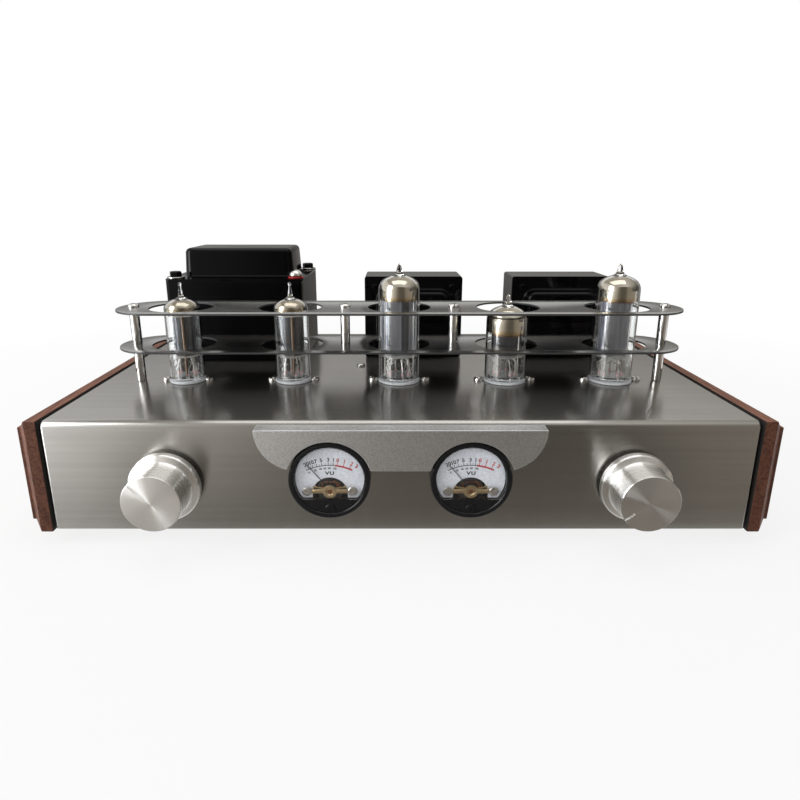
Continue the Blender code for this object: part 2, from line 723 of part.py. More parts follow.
def make_tube(number, tube, finishes):
    """A plug-in tube: socket in the deck, glass bulb and the electrodes on their glass button."""
    place, radius, height, pip, dome, anodes = tube
    x = place * TUBE_PITCH
    neck = radius - SOCKET_NECK_INSET
    rim = radius + SOCKET_RIM
    edge = SOCKET_RISE / 3
    socket = (
        (0, -SHEET - SOCKET_DEPTH),
        (neck, -SHEET - SOCKET_DEPTH),
        (neck, FIT_GAP),
        (rim, FIT_GAP),
        (rim, SOCKET_RISE - edge),
        (rim - edge, SOCKET_RISE),
        (0, SOCKET_RISE),
    )
    label = str(number)
    piece("tube_socket_" + label, lathe(socket, BULB_ROUND), finishes["socket"], (x, TUBE_Y, DECK_Z))

    seat = DECK_Z + SOCKET_RISE + FIT_GAP
    outer, inside, shoulder, crown = bulb_profile(radius, height, pip, dome)
    ceiling = crown - GLASS_WALL
    profile = list(outer)
    for step in (3, 2, 1):
        angle = math.pi / 2 * step / 3
        reach = 0 if step == 3 else inside * math.cos(angle)
        profile.append((reach, shoulder + (ceiling - shoulder) * math.sin(angle)))
    profile.append((inside, shoulder))
    bulb = lathe(profile, BULB_ROUND, closed=True)
    piece("tube_glass_" + label, bulb, finishes["glass"], (x, TUBE_Y, seat))

    mica = inside - FIT_GAP
    anode_top = shoulder - ANODE_HEADROOM
    base = disc(mica, 0, BUTTON_HEIGHT, SMALL_ROUND)
    button = piece("tube_electrodes_" + label, base, finishes["anode"], (x, TUBE_Y, seat))
    spread = mica - ANODE_SIDE_ROOM
    shapes = []
    for level in (ANODE_START - MICA_THICKNESS / 2, anode_top - MICA_THICKNESS / 2):
        shapes.append(disc(mica - FIT_GAP, level, level + MICA_THICKNESS, SMALL_ROUND))
    for side in (-1, 1):
        rod = disc(ROD_RADIUS, BUTTON_HEIGHT / 2, anode_top + 2 * MICA_THICKNESS, ROD_ROUND)
        shapes.append(moved(rod, side * spread))
    pitch = (2 * spread + ANODE_SLIT) / anodes
    for index in range(anodes):
        centre = (index - (anodes - 1) / 2) * pitch
        outline = rounded_rectangle(pitch - ANODE_SLIT, ANODE_DEPTH, ANODE_CORNER, (centre, 0), 1)
        shapes.append(prism(outline, ANODE_START, anode_top))
    combine(button, shapes, "UNION")


def guard_post_places():
    """Name, X and whether the post stands on the deck, for the four posts."""
    half_pitch = TUBE_PITCH / 2
    return (
        ("outer_left", -POST_X, True),
        ("inner_left", -half_pitch, False),
        ("inner_right", half_pitch, False),
        ("outer_right", POST_X, True),
    )


def make_guard(finishes):
    """Two long plates with a hole round each tube, stacked on turned posts."""
    for level, top in GUARD_TOPS.items():
        outline = stadium(GUARD_HALF_LENGTH, GUARD_HALF_WIDTH, PLATE_ROUND // 2)
        plate = piece(
            "guard_plate_" + level, prism(outline, -GUARD_SHEET, 0), finishes["plate"], (0, TUBE_Y, top)
        )
        holes = []
        for place, *_ in TUBES:
            hole = disc(GUARD_HOLE_RADIUS, -2 * GUARD_SHEET, GUARD_SHEET, PLATE_ROUND)
            holes.append(moved(hole, place * TUBE_PITCH))
        for _, x, _ in guard_post_places():
            hole = disc(POST_STUD_RADIUS + FIT_GAP, -2 * GUARD_SHEET, GUARD_SHEET, SMALL_ROUND)
            holes.append(moved(hole, x))
        combine(plate, holes, "DIFFERENCE")

    lower = GUARD_LOWER_TOP
    upper = GUARD_UPPER_TOP
    lower_under = lower - GUARD_SHEET - FIT_GAP
    upper_under = upper - GUARD_SHEET - FIT_GAP
    for name, x, grounded in guard_post_places():
        if grounded:
            foot = [(0, FIT_GAP), (POST_RADIUS, FIT_GAP), (POST_RADIUS, lower_under)]
        else:
            nut = lower_under - POST_HEAD_HEIGHT
            foot = [(0, nut), (POST_HEAD_RADIUS, nut), (POST_HEAD_RADIUS, lower_under)]
        head = upper + FIT_GAP
        profile = foot + [
            (POST_STUD_RADIUS, lower_under),
            (POST_STUD_RADIUS, lower + FIT_GAP),
            (POST_RADIUS, lower + FIT_GAP),
            (POST_RADIUS, upper_under),
            (POST_STUD_RADIUS, upper_under),
            (POST_STUD_RADIUS, head),
            (POST_HEAD_RADIUS, head),
            (POST_HEAD_RADIUS, head + POST_HEAD_HEIGHT / 2),
            (POST_HEAD_RADIUS * 0.7, head + POST_HEAD_HEIGHT),
            (0, head + POST_HEAD_HEIGHT),
        ]
        piece("guard_post_" + name, lathe(profile, SMALL_ROUND), finishes["post"], (x, TUBE_Y, DECK_Z))


# Transformers


def make_power_transformer(finishes):
    """A flat-laid core with a drawn bell over the coil."""
    place = (POWER_X, FRONT_Y + POWER_SETBACK + POWER_DEPTH / 2, DECK_Z)
    stack = prism(rounded_rectangle(POWER_WIDTH, POWER_DEPTH, POWER_CORNER), FIT_GAP, POWER_STACK)
    piece("power_transformer_core", stack, finishes["core"], place)
    base = POWER_STACK + FIT_GAP
    rim = base + POWER_FLANGE
    top = base + POWER_BELL_HEIGHT
    flange = rounded_rectangle(POWER_WIDTH, POWER_DEPTH, POWER_CORNER)
    rings = [(flange, base), (flange, rim)]
    for inset, height in bell_rise(rim, top, POWER_BELL_ROUND):
        size = (POWER_BELL_WIDTH - 2 * inset, POWER_BELL_DEPTH - 2 * inset, POWER_BELL_CORNER - inset)
        rings.append((rounded_rectangle(*size), height))
    piece("power_transformer_bell", loft(rings), finishes["bell"], place)


def bell_rise(base, top, edge):
    """Inset and height of the rings that round a drawn bell over at its top edge."""
    rings = [(0, base)]
    for step in range(4):
        angle = math.pi / 2 * step / 3
        rings.append((edge * (1 - math.cos(angle)), top - edge * (1 - math.sin(angle))))
    return rings


def make_output_transformer(name, x, finishes):
    """A standing core clamped between two drawn covers, the rear one fixed to the core."""
    middle = DECK_Z + FIT_GAP + OUTPUT_HEIGHT / 2
    front = FRONT_Y + OUTPUT_SETBACK
    stack_front = -COVER_FLANGE - FIT_GAP
    outline = rounded_rectangle(OUTPUT_WIDTH, OUTPUT_HEIGHT, OUTPUT_CORNER)
    dome = []
    for inset, height in bell_rise(0, COVER_DOME_HEIGHT, COVER_DOME_ROUND):
        width = OUTPUT_WIDTH - 2 * (COVER_DOME_INSET + inset)
        tall = OUTPUT_HEIGHT - 2 * (COVER_DOME_INSET + inset)
        dome.append((rounded_rectangle(width, tall, COVER_DOME_CORNER - inset), height))
    cover = loft([(outline, -COVER_FLANGE), (outline, 0)] + dome)
    place = (x, front, middle)
    piece("output_transformer_cover_" + name, cover, finishes["bell"], place, FACING_FRONT)
    stack_rear = stack_front - OUTPUT_STACK
    rings = [(outline, stack_front), (outline, stack_rear)]
    rings += [(ring, stack_rear - height) for ring, height in dome]
    piece("output_transformer_core_" + name, loft(rings), finishes["core"], place, FACING_FRONT)


# Rear panel


def make_inlet(finishes):
    """A mains inlet and its rocker switch in one moulded housing."""
    place = (INLET_X, REAR_Y, REAR_CENTRE_Z)
    face = FIT_GAP + INLET_FLANGE
    flange = prism(rounded_rectangle(INLET_WIDTH, INLET_HEIGHT, INLET_CORNER), FIT_GAP, face)
    housing = piece("mains_inlet", flange, finishes["plastic"], place, FACING_REAR)
    inner = rounded_rectangle(INLET_WIDTH - 2 * INLET_RIM, INLET_HEIGHT - 2 * INLET_RIM, INLET_CORNER)
    combine(housing, [prism(inner, -INLET_BODY_DEPTH, face - INLET_FLANGE / 2)], "UNION")
    mouth_floor = face - INLET_MOUTH_DEPTH
    mouth = rounded_rectangle(INLET_MOUTH_WIDTH, INLET_MOUTH_HEIGHT, INLET_CORNER, (INLET_MOUTH_X, 0))
    well_width = ROCKER_WIDTH + 2 * ROCKER_SIDE_GAP
    well_height = ROCKER_HEIGHT + 2 * ROCKER_GAP
    well = block(well_width, well_height, face - ROCKER_WELL, 2 * face, (ROCKER_X, 0))
    combine(housing, [prism(mouth, mouth_floor, 2 * face), well], "DIFFERENCE")
    pins = []
    for x, z in ((-INLET_PIN_SPACING, 0), (0, INLET_EARTH_RISE), (INLET_PIN_SPACING, 0)):
        centre = (INLET_MOUTH_X + x, z - INLET_EARTH_RISE / 2)
        start = mouth_floor - INLET_PIN_WIDTH
        pins.append(block(INLET_PIN_WIDTH, INLET_PIN_HEIGHT, start, mouth_floor + INLET_PIN_LENGTH, centre))
    combine(housing, pins, "UNION")

    pivot_depth = face + ROCKER_PROUD - ROCKER_RADIUS
    pivot = (INLET_X + ROCKER_X, REAR_Y + pivot_depth, REAR_CENTRE_Z)
    half = ROCKER_HEIGHT / 2 - ROCKER_GAP
    dish = ROCKER_PROUD / 2
    side = [(-half, -ROCKER_BASE), (half, -ROCKER_BASE), (half, ROCKER_RADIUS)]
    side += [(half / 2, ROCKER_RADIUS - dish), (-half / 2, ROCKER_RADIUS - dish), (-half, ROCKER_RADIUS)]
    bar = moved(prism(side, -ROCKER_WIDTH / 2, ROCKER_WIDTH / 2), rotation=(0, -math.pi / 2, 0))
    turn = (math.radians(ROCKER_TILT_DEG), 0, 0)
    piece("power_rocker", bar, finishes["rocker"], pivot, turn)


def jack_places():
    """Centres of the four input jacks on their plate."""
    return [(sx * JACK_PITCH_X / 2, sz * JACK_PITCH_Z / 2) for sx in (-1, 1) for sz in (-1, 1)]


def make_jacks(finish):
    """Two pairs of round input jacks on one plate."""
    plate = rounded_rectangle(JACK_PLATE_WIDTH, JACK_PLATE_HEIGHT, JACK_PLATE)
    face = FIT_GAP + JACK_PLATE
    jacks = piece(
        "input_jacks", prism(plate, FIT_GAP, face), finish, (JACK_X, REAR_Y, REAR_CENTRE_Z), FACING_REAR
    )
    tip = face + JACK_REACH
    profile = (
        (0, -SHEET - JACK_TAIL),
        (JACK_TAIL_RADIUS, -SHEET - JACK_TAIL),
        (JACK_TAIL_RADIUS, face - JACK_PLATE / 2),
        (JACK_RADIUS, face - JACK_PLATE / 2),
        (JACK_RADIUS, tip),
        (JACK_BORE, tip),
        (JACK_BORE, face + JACK_PLATE / 2),
        (0, face + JACK_PLATE / 2),
    )
    combine(jacks, [moved(lathe(profile, SMALL_ROUND), x, -z) for x, z in jack_places()], "UNION")


def terminal_places():
    """X of each loudspeaker terminal."""
    first = TERMINAL_X - (TERMINAL_COUNT - 1) * TERMINAL_PITCH / 2
    return [first + index * TERMINAL_PITCH for index in range(TERMINAL_COUNT)]


def make_terminals(finishes):
    """An insulating strip of threaded studs, each with a screw-down cap."""
    width = (TERMINAL_COUNT - 1) * TERMINAL_PITCH + 2 * TERMINAL_PLATE_MARGIN
    face = FIT_GAP + TERMINAL_PLATE
    strip = prism(rounded_rectangle(width, TERMINAL_PLATE_HEIGHT, TERMINAL_PLATE), FIT_GAP, face)
    centre = (TERMINAL_X, REAR_Y, REAR_CENTRE_Z)
    plate = piece("speaker_terminals", strip, finishes["strip"], centre, FACING_REAR)
    bore_floor = face + CAP_LENGTH - CAP_WALL
    studs = []
    for x in terminal_places():
        stud = disc(TERMINAL_STUD_RADIUS, -SHEET - TERMINAL_TAIL, bore_floor, SMALL_ROUND)
        studs.append(moved(stud, x - TERMINAL_X))
    combine(plate, studs, "UNION")
    start = face + FIT_GAP
    end = start + CAP_LENGTH
    bore = TERMINAL_STUD_RADIUS + RUN_GAP
    edge = CAP_WALL / 2
    profile = (
        (0, end - CAP_WALL),
        (bore, end - CAP_WALL),
        (bore, start),
        (CAP_RADIUS - edge, start),
        (CAP_RADIUS, start + edge),
        (CAP_RADIUS, end - edge),
        (CAP_RADIUS - edge, end),
        (0, end),
    )
    for index, x in enumerate(terminal_places()):
        shape = lathe(profile, CAP_GRIP_FLATS)
        finish = finishes["red"] if index % 2 else finishes["black"]
        piece("terminal_cap_" + str(index + 1), shape, finish, (x, REAR_Y, REAR_CENTRE_Z), FACING_REAR)


# Inside


def make_electronics(finishes):
    """The circuit board on its standoffs, with the reservoir capacitor."""
    seat = TRAY_TOP + FIT_GAP
    under = BOARD_STANDOFF
    y = FRONT_Y + BOARD_SETBACK + BOARD_DEPTH / 2
    board = piece(
        "main_board",
        block(BOARD_WIDTH, BOARD_DEPTH, under, under + BOARD_THICKNESS),
        finishes["board"],
        (0, y, seat),
    )
    legs = []
    for sx in (-1, 1):
        for sy in (-1, 1):
            leg = disc(BOARD_STANDOFF_RADIUS, 0, under + BOARD_THICKNESS / 2, ROD_ROUND)
            x = sx * (BOARD_WIDTH / 2 - BOARD_STANDOFF_INSET)
            legs.append(moved(leg, x, sy * (BOARD_DEPTH / 2 - BOARD_STANDOFF_INSET)))
    combine(board, legs, "UNION")
    top = seat + under + BOARD_THICKNESS + FIT_GAP
    can = disc(CAPACITOR_RADIUS, 0, CAPACITOR_HEIGHT, BULB_ROUND)
    piece("filter_capacitor", can, finishes["can"], (CAPACITOR_X, y, top))


def main():
    for old in list(bpy.data.objects):
        bpy.data.objects.remove(old, do_unlink=True)
    steel = material("brushed steel", (0.48, 0.47, 0.44), 0.32, 1.0)
    rail = material("rail steel", (0.42, 0.42, 0.41), 0.3, 1.0)
    chrome = material("bright plating", (0.75, 0.75, 0.74), 0.12, 1.0)
    aluminium = material("turned aluminium", (0.8, 0.8, 0.79), 0.25, 1.0)
    blasted = material("blasted aluminium", (0.56, 0.55, 0.53), 0.5, 1.0)
    wood = material("oiled walnut", (0.24, 0.1, 0.055), 0.5)
    rubber = material("rubber", (0.03, 0.03, 0.03), 0.8)
    black = material("black plastic", (0.015, 0.015, 0.016), 0.25)
    red = material("red plastic", (0.5, 0.03, 0.03), 0.35)
    white = material("dial white", (0.8, 0.82, 0.85), 0.5)
    glass = material("clear glass", (0.9, 0.93, 0.93), 0.05, 0.0, 0.2)
    ceramic = material("white ceramic", (0.85, 0.85, 0.84), 0.35)
    anode = material("anode grey", (0.12, 0.12, 0.13), 0.5, 0.6)
    varnish = material("black varnish", (0.012, 0.012, 0.014), 0.12)
    board = material("circuit board", (0.05, 0.2, 0.1), 0.5)
    control = material("control body", (0.35, 0.33, 0.3), 0.4, 1.0)

    make_chassis(steel)
    make_bottom_plate(steel)
    make_side_panels(wood)
    make_feet(rubber)
    make_badge(blasted)
    meter_finishes = {"case": black, "dial": white, "lens": glass, "needle": black}
    make_meter("left", -1, meter_finishes)
    make_meter("right", 1, meter_finishes)
    knob_finishes = {"knob": aluminium, "control": control, "shaft": chrome}
    make_knob("selector", -1, SELECTOR_GROOVE_DEG, SELECTOR_BODY_DEPTH, "input_selector", knob_finishes)
    make_knob("volume", 1, VOLUME_GROOVE_DEG, VOLUME_BODY_DEPTH, "volume_control", knob_finishes)
    tube_finishes = {"socket": ceramic, "glass": glass, "anode": anode}
    for number, tube in enumerate(TUBES, 1):
        make_tube(number, tube, tube_finishes)
    make_guard({"plate": rail, "post": chrome})
    make_power_transformer({"core": varnish, "bell": varnish})
    for name, x in zip(("left", "right"), OUTPUT_XS):
        make_output_transformer(name, x, {"core": varnish, "bell": varnish})
    make_inlet({"plastic": black, "rocker": black})
    make_jacks(chrome)
    make_terminals({"strip": black, "red": red, "black": black})
    make_electronics({"board": board, "can": black})


main()
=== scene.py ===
"""Looks of the tube amplifier: the finish of every piece, the fine parts, the studio and the camera."""

import math

import bmesh
import bpy
from mathutils import Matrix, Vector


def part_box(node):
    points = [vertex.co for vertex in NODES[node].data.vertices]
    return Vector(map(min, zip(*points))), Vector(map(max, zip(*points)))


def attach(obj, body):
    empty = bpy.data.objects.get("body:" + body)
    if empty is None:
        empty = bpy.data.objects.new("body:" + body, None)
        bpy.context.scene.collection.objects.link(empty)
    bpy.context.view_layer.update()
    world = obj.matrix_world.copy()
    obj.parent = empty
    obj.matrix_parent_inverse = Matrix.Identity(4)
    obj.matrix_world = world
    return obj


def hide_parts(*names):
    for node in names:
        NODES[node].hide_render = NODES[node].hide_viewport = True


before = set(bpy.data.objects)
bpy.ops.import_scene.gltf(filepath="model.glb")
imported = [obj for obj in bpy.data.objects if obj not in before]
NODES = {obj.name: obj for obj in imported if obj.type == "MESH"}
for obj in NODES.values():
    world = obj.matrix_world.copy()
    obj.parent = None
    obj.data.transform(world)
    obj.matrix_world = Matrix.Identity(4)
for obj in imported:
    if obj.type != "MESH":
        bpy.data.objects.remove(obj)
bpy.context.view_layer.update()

# Shapes and their places are in millimetres, which piece() turns into metres
MM = 0.001
SIDES = (("left", -1), ("right", 1))
CORNERS = ((-1, -1), (-1, 1), (1, -1), (1, 1))
FACING_FRONT = (math.pi / 2, 0, 0)
FACING_REAR = (-math.pi / 2, 0, 0)
ALONG_X = (math.pi / 2, 0, math.pi / 2)
ROUND = 96
SMALL_ROUND = 32

# Radius, height and slot width of each kind of screw
SCREWS = {
    "tray": (2.8, 1.5, 0.7), "deck": (2.4, 1.6, 0.6), "adjuster": (2.4, 0.55, 0.5), "bridge": (2.2, 0.5, 0.5),
    "socket": (2.6, 2.1, 0.7), "post": (2.9, 1.7, 0.7), "cover": (1.9, 1.2, 0.5), "jack": (2.0, 1.1, 0.6),
    "terminal": (2.4, 1.2, 0.6),
}

# Chassis and wood
SHEET = 1.5
BEND_RADIUS = 3.0
END_ROUND = 1.5
METER_HOLE = 17.3
BUSHING_HOLE = 4.9
SOCKET_HOLE_INSET = 0.9
WOOD_CHAMFER_ACROSS = 4.1
WOOD_CHAMFER_ALONG = 4.3
WOOD_STEP = 1.7
WOOD_GROOVE_ACROSS = 1.3
WOOD_GROOVE_ALONG = 3.0
WOOD_EDGE = 0.35
DECK_SCREW = (-22.5, 1.1)
TRAY_SCREW_X = 148.0
TRAY_SCREW_INSET = 10.0
SOLE_DISH = 0.6
FOOT_EDGE = 1.0

# Level meters, measured from the middle of the bezel and from the panel
BEZEL_RADIUS = 18.5
BEZEL_PROUD = 6.0
BEZEL_EDGE = 1.1
WINDOW_RADIUS = 15.9
WINDOW_FIT = 0.3
LEDGE = 2.0
LEDGE_RADIUS = 14.5
DIAL_FRONT = 2.8
DIAL_THICKNESS = 0.5
NEEDLE_BACK = 3.4
BRIDGE_LOW = 3.9
BRIDGE_HIGH = 4.2
WINDOW_BACK = 4.75
WINDOW_FRONT = 5.0
COVER_TOP = 5.1
CASE_RADIUS = 17.0
CASE_DEPTH = 22.0
DIAL_NOTCH_RADIUS = 8.0
DIAL_NOTCH_DROP = 7.4
COVER_CHORD = 9.4
PANEL_GAP = 0.3
PIVOT_DROP = 5.0
BRIDGE_DROP = 5.6
COIL_DROP = 2.9
SCALE_DROP = 16.4
SCALE_RADIUS = 22.9
NUMBER_RADIUS = 25.5
NUMBER_SIZE = 2.5
PERCENT_RADIUS = 21.4
PERCENT_SIZE = 1.25
NEEDLE_LENGTH = 15.4
NEEDLE_TAIL = 2.5
NEEDLE_REST_DEG = 40.0
BRIDGE_HALF = 10.3
ADJUSTER_DROP = 14.0
CORE_RADIUS = 6.0
CORE_RISE = 0.2
COIL_OUTER = (7.6, 3.4, 1.1)
COIL_INNER = (6.2, 2.2, 0.6)
COIL_HEIGHT = 0.35
# Place, length and lean of each lead
LEADS = ((2.7, 3.9, 2.4, -0.6), (4.2, 2.6, 1.5, -1.0))
BRIDGE_WIDTH = 2.2
BEARING_PROFILE = ((0, -0.1), (3.2, 0), (3.2, 0.35), (2.6, 0.5), (1.8, 0.5), (1.5, 0.1), (0, 0.1))
COVER_EASE_SHARE = 0.975
COVER_EASE_DROP = 0.3
COVER_EASE_RISE = 0.4
NEEDLE_TAIL_HALF = 0.22
NEEDLE_TIP_HALF = 0.12
HUB_RADIUS = 1.8
HUB_HEIGHT = 0.35
SCALE_LINE_HALF = 0.16
RED_BAND_HALF = 0.38
# Length and width of the marks
LONG_TICK = (1.4, 0.26)
SHORT_TICK = (0.9, 0.2)
RED_TICK = (1.5, 0.3)
UNIT_SIZE = 2.2
UNIT_WEIGHT = 0.045
UNIT_SPACING = 1.2
UNIT_STRETCH = 1.3
UNIT_HEIGHT = 2.6
LEAD_WIDTH = 0.9
LEAD_HEIGHT = 0.3
RIB_SIZE = (4.6, 0.7)
RIB_PLACE = (5.2, 2.0)
RIB_RISE = 0.25
RIB_LEAN = 0.16
SLEEVE_RADIUS = 0.85
SLEEVE_LENGTH = 5.2
SLEEVE_X = 2.4
PILLAR_RADIUS = 1.6
JEWEL_PROFILE = ((0, 0.12), (1.1, 0.12), (0.9, 0.3), (0, 0.38))
PRINT = 0.03
SCALE_START_DEG = 117.0
RED_START_DEG = 83.7
SCALE_END_DEG = 63.5
BLACK_NUMBERS = ((114, "20"), (108.7, "10"), (104, "7"), (98.4, "5"), (91.1, "3"), (85.8, "1"))
RED_NUMBERS = ((81.4, "0"), (74.5, "1"), (67, "2"), (61.5, "3"))
PERCENTS = ((115.5, "0"), (107.5, "20"), (101, "40"), (95.5, "60"), (90, "80"), (84, "100"))
SMALL_TICKS = (116.6, 111.3, 106.3, 101.2, 94.7, 88.4)

# Escutcheon
BADGE_CORNER_RADIUS = 18.9
BADGE_EDGE = 1.0
BADGE_METER_GAP = 0.9

# Knobs, with the angle and depth of each pointer groove
KNOB_BACK_RADIUS = 12.0
KNOB_HOLLOW_RADIUS = 9.0
KNOB_HOLLOW_DEPTH = 5.0
KNOB_BORE_RADIUS = 3.25
KNOB_FACE_THICKNESS = 4.0
KNOB_RIM_START = 1.4
KNOB_RIM_LENGTH = 5.0
KNOB_FLANGE_LENGTH = 6.2
KNOB_BODY_RADIUS = 13.0
KNOB_EDGE = 0.8
GROOVE_WIDTH = 1.0
GROOVE_LENGTH = 5.0
GROOVES = {"selector": (135.0, 0.12), "volume": (215.0, 0.5)}

# Tubes
GLASS_WALL = 0.8
GETTER_GAP = 0.06
GETTER_THICKNESS = 0.05
SOCKET_SCREW_X = {"noval": 14.2, "miniature": 11.4}
PIN_CIRCLE = {"noval": 5.95, "miniature": 4.76}
PIN_COUNT = {"noval": 9, "miniature": 7}
TUBE_KINDS = ("miniature", "miniature", "noval", "noval", "noval")
GETTER_DEPTHS = (1.0, 1.0, 5.5, 7.5, 6.0)
GETTER_TONES = {"noval": (0.54, 0.48, 0.39), "miniature": (0.44, 0.38, 0.29)}
GETTER_FRINGES = ((0.22, 0.16, 0.1),) * 3 + ((0.2, 0.06, 0.04),) * 2
ANODE_START = 13.0
ANODE_SHARES = (0.52, 0.54, 0.76, 0.6, 0.64)
ANODE_THICKNESS = 7.0
GREY_ANODES = (2, 4)
CHANNELLED_ANODE = 2
SOCKET_DEPTH = 9.0
MICA_THICKNESS = 0.3
MICA_STEPS = 48
TOOTH_DEPTH = 0.7
ELECTRODE_GAP = 0.6
WIRE_RADIUS = 0.38
STRAP_RADIUS = 0.3
BEAD_HEIGHT = 1.7
SEAT_INSET = 1.2
ANODE_TOP_GAP = 3.5
FIN_SIZE = (1.8, 0.6, 0.25)
FIN_REACH = 0.4
FIN_INSET = 0.6
BAND_SHARES = (0.3, 0.7)
BAND_PROUD = 0.5
BAND_HEIGHT = 0.9
CHANNEL_SIZE = (4.0, 1.2, 0.3)
CHANNEL_SHARE = 0.18
SEAM_SIZE = (0.7, 0.7, 0.2)
SEAM_SHARES = (-0.3, CHANNEL_SHARE)
# Places across, as shares of the anode's width, and radius of the rods
RODS = {"miniature": ((0.12,), 0.8), "noval": ((-0.44, 0.44), 0.35)}
ROD_GAP = 0.9
BEAD_PROFILE = ((0, 0), (0.75, 0.5), (0.8, 1.2), (0.45, 2.2), (0, 2.3))
# Radius and height above the shoulder of each bulb's crown and pip
CROWNS = {
    "noval": (
        (11.0, 0.0), (10.85, 1.4), (10.4, 2.8), (9.4, 4.4), (7.3, 5.9), (4.7, 7.0), (2.7, 7.8),
        (1.9, 8.7), (1.5, 10.2), (1.15, 11.7), (0.75, 12.9), (0.0, 13.7),
    ),
    "miniature": (
        (9.25, 0.0), (9.1, 1.1), (8.5, 2.3), (7.2, 3.5), (5.2, 4.5), (3.1, 5.2), (1.8, 5.9),
        (1.2, 6.9), (1.05, 9.2), (0.7, 11.0), (0.55, 12.0), (0.9, 12.8), (0.75, 13.6), (0.0, 14.0),
    ),
}

# Guard and transformers
GUARD_HOLE_RADIUS = 16.6
GUARD_EDGE = 0.1
POST_RADIUS = 2.5
BELL_FLANGE = 1.2
BELL_FLARE = ((-1.6, 0.0), (-0.7, 0.25), (-0.2, 0.7), (0.0, 1.5))
POWER_CORNER = 2.5
POWER_EDGE = 0.4
POWER_BELL = (67.0, 40.0, 5.0)
POWER_BOLT = (36.2, 26.5)
DOMED_BOLT = (1, -1)
WASHER_HEIGHT = 0.9
DOME_PROFILE = ((0, WASHER_HEIGHT), (4.0, WASHER_HEIGHT), (4.0, 2.6), (2.6, 4.4), (0, 5.0))
HEXAGON_PROFILE = ((0, WASHER_HEIGHT), (3.6, WASHER_HEIGHT), (3.6, 3.44), (3.096, 4.0), (0, 4.0))
OUTPUT_CORNER = 1.5
OUTPUT_EDGE = 0.2
OUTPUT_DOME_INSET = 8.0
OUTPUT_DOME_CORNER = 6.0
OUTPUT_SCREW_INSET = 6.3
# Rounding at the top and taper of the drawn covers
POWER_BELL_FORM = (3.0, 0.8)
OUTPUT_BELL_FORM = (2.5, 0.6)
WASHER_RADIUS = 5.2
FIBRE_RADIUS = 4.6

# Rear fittings, measured from the rear panel
JACK_FACE = 2.3
JACK_SPOT = (11.0, 7.5)
JACK_CORNER = 2.0
JACK_LETTER_SIZE = 3.0
JACK_BORE_FLOOR = 3.0
JACK_PROFILE = ((1.6, JACK_BORE_FLOOR), (1.6, 11.3), (4.2, 11.3), (4.2, 2.2), (0, 2.2))
COLLAR_PROFILE = ((5.0, JACK_FACE), (5.6, JACK_FACE), (5.6, 3.6), (4.5, 3.6), (4.5, JACK_FACE))
INLET_OPENING = (54.6, 24.6, 3.0)
INLET_FACE = 2.8
INLET_MOUTH_X = -12.0
INLET_MOUTH_FLOOR = -14.2
INLET_BLADES = ((-7.0, -2.0), (0, 2.0), (7.0, -2.0))
BLADE_LENGTH = 10.8
BLADE_SIZE = (2.3, 4.3, 0.3)
BLADE_TIP = (1.2, 3.2, 0.3)
BLADE_TAPER = 0.8
ROCKER_X = 16.5
# Width, height, and the inner and outer corner of the rims, with their place across
INLET_RIMS = ((25.0, 19.0, 3.0, 4.2, INLET_MOUTH_X), (14.2, 21.0, 1.0, 2.0, ROCKER_X))
RIM_WIDTH = 1.3
RIM_SINK = 0.2
RIM_RISE = 0.7
ROCKER_PIVOT = -4.0
ROCKER_MARK = (8.45, 6.5)
ROCKER_SLOPE_DEG = 14.2
ROCKER_TILT_DEG = 9.0
MARK_HEIGHT = 0.08
ROCKER_BAR = (0.8, 3.4)
ROCKER_RING = (1.1, 1.8)
TERMINALS = (1, 2, 3, 4)
TERMINAL_FACE = 3.3
TERMINAL_HOLE = 2.3
TERMINAL_SCREW_X = 45.5
TERMINAL_MARK = (2.8, 0.6)
TERMINAL_MARK_RISE = 10.0
CAP_FLUTES = 18
CAP_STEPS = 144
CAP_FLUTE_DEPTH = 0.45
CAP_EDGE = 1.0
CAP_END_SHARE = 0.86

# Camera and studio, in metres
CAMERA_PLACE = (-0.00347, -0.34161, 0.15429)
CAMERA_TILT_DEG = 74.37
CAMERA_LENS = 26.665
CAMERA_SHIFT = (0.0091, -0.036)
FLOOR_SIZE = 6.0
LAMP_TARGET = (0.0, 0.0, 0.05)
# Place, width, height and power in watts of each lamp
LAMPS = {
    "top softbox": ((0.0, -0.05, 1.25), 1.2, 0.8, 4.5),
    "left window": ((-1.05, -0.55, 0.62), 0.62, 0.9, 7.5),
}
# The card in front: lines of equal tone fan out from a point behind the panel
CARD_FOCUS_Y = 0.1538
CARD_SPREAD = 2.0
CARD_NEAR_Y = -0.115
CARD_FAR_Y = -0.21
CARD_PEAK = 9.5
CARD_HALF_WIDTH = 2.0
FRONT_CARD = ((-0.104, 0.0006), (-0.9, 0.0006), (-1.15, 0.12), (-1.25, 0.5), (-1.25, 1.1))
# Place across the fan, and the light there near the panel and further out
CARD_TONES = (
    (-2.0, 1.5, 2.0), (-1.6, 6.5, 9.5), (-1.1, 6.5, 9.5), (-0.9, 1.5, 2.1), (-0.8, 0.95, 1.3),
    (-0.66, 0.8, 1.15), (-0.59, 0.7, 1.02), (-0.49, 0.5, 0.7), (-0.37, 0.34, 0.62), (-0.29, 0.3, 0.5),
    (-0.16, 0.26, 0.29), (0.0, 0.24, 0.18), (0.24, 0.23, 0.14), (0.45, 0.26, 0.18), (0.6, 0.3, 0.3),
    (0.8, 0.32, 0.36), (2.0, 0.4, 0.45),
)
# The card behind: the light at each place along its line, from the floor up its back
BACK_CARD = (
    (0.125, 0.0006, 0.16), (0.6, 0.0006, 0.2), (1.05, 0.0006, 0.26), (1.2, 0.06, 0.28), (1.25, 0.2, 0.2),
    (1.25, 0.36, 0.24), (1.25, 0.5, 0.48), (1.25, 0.62, 0.85),
)
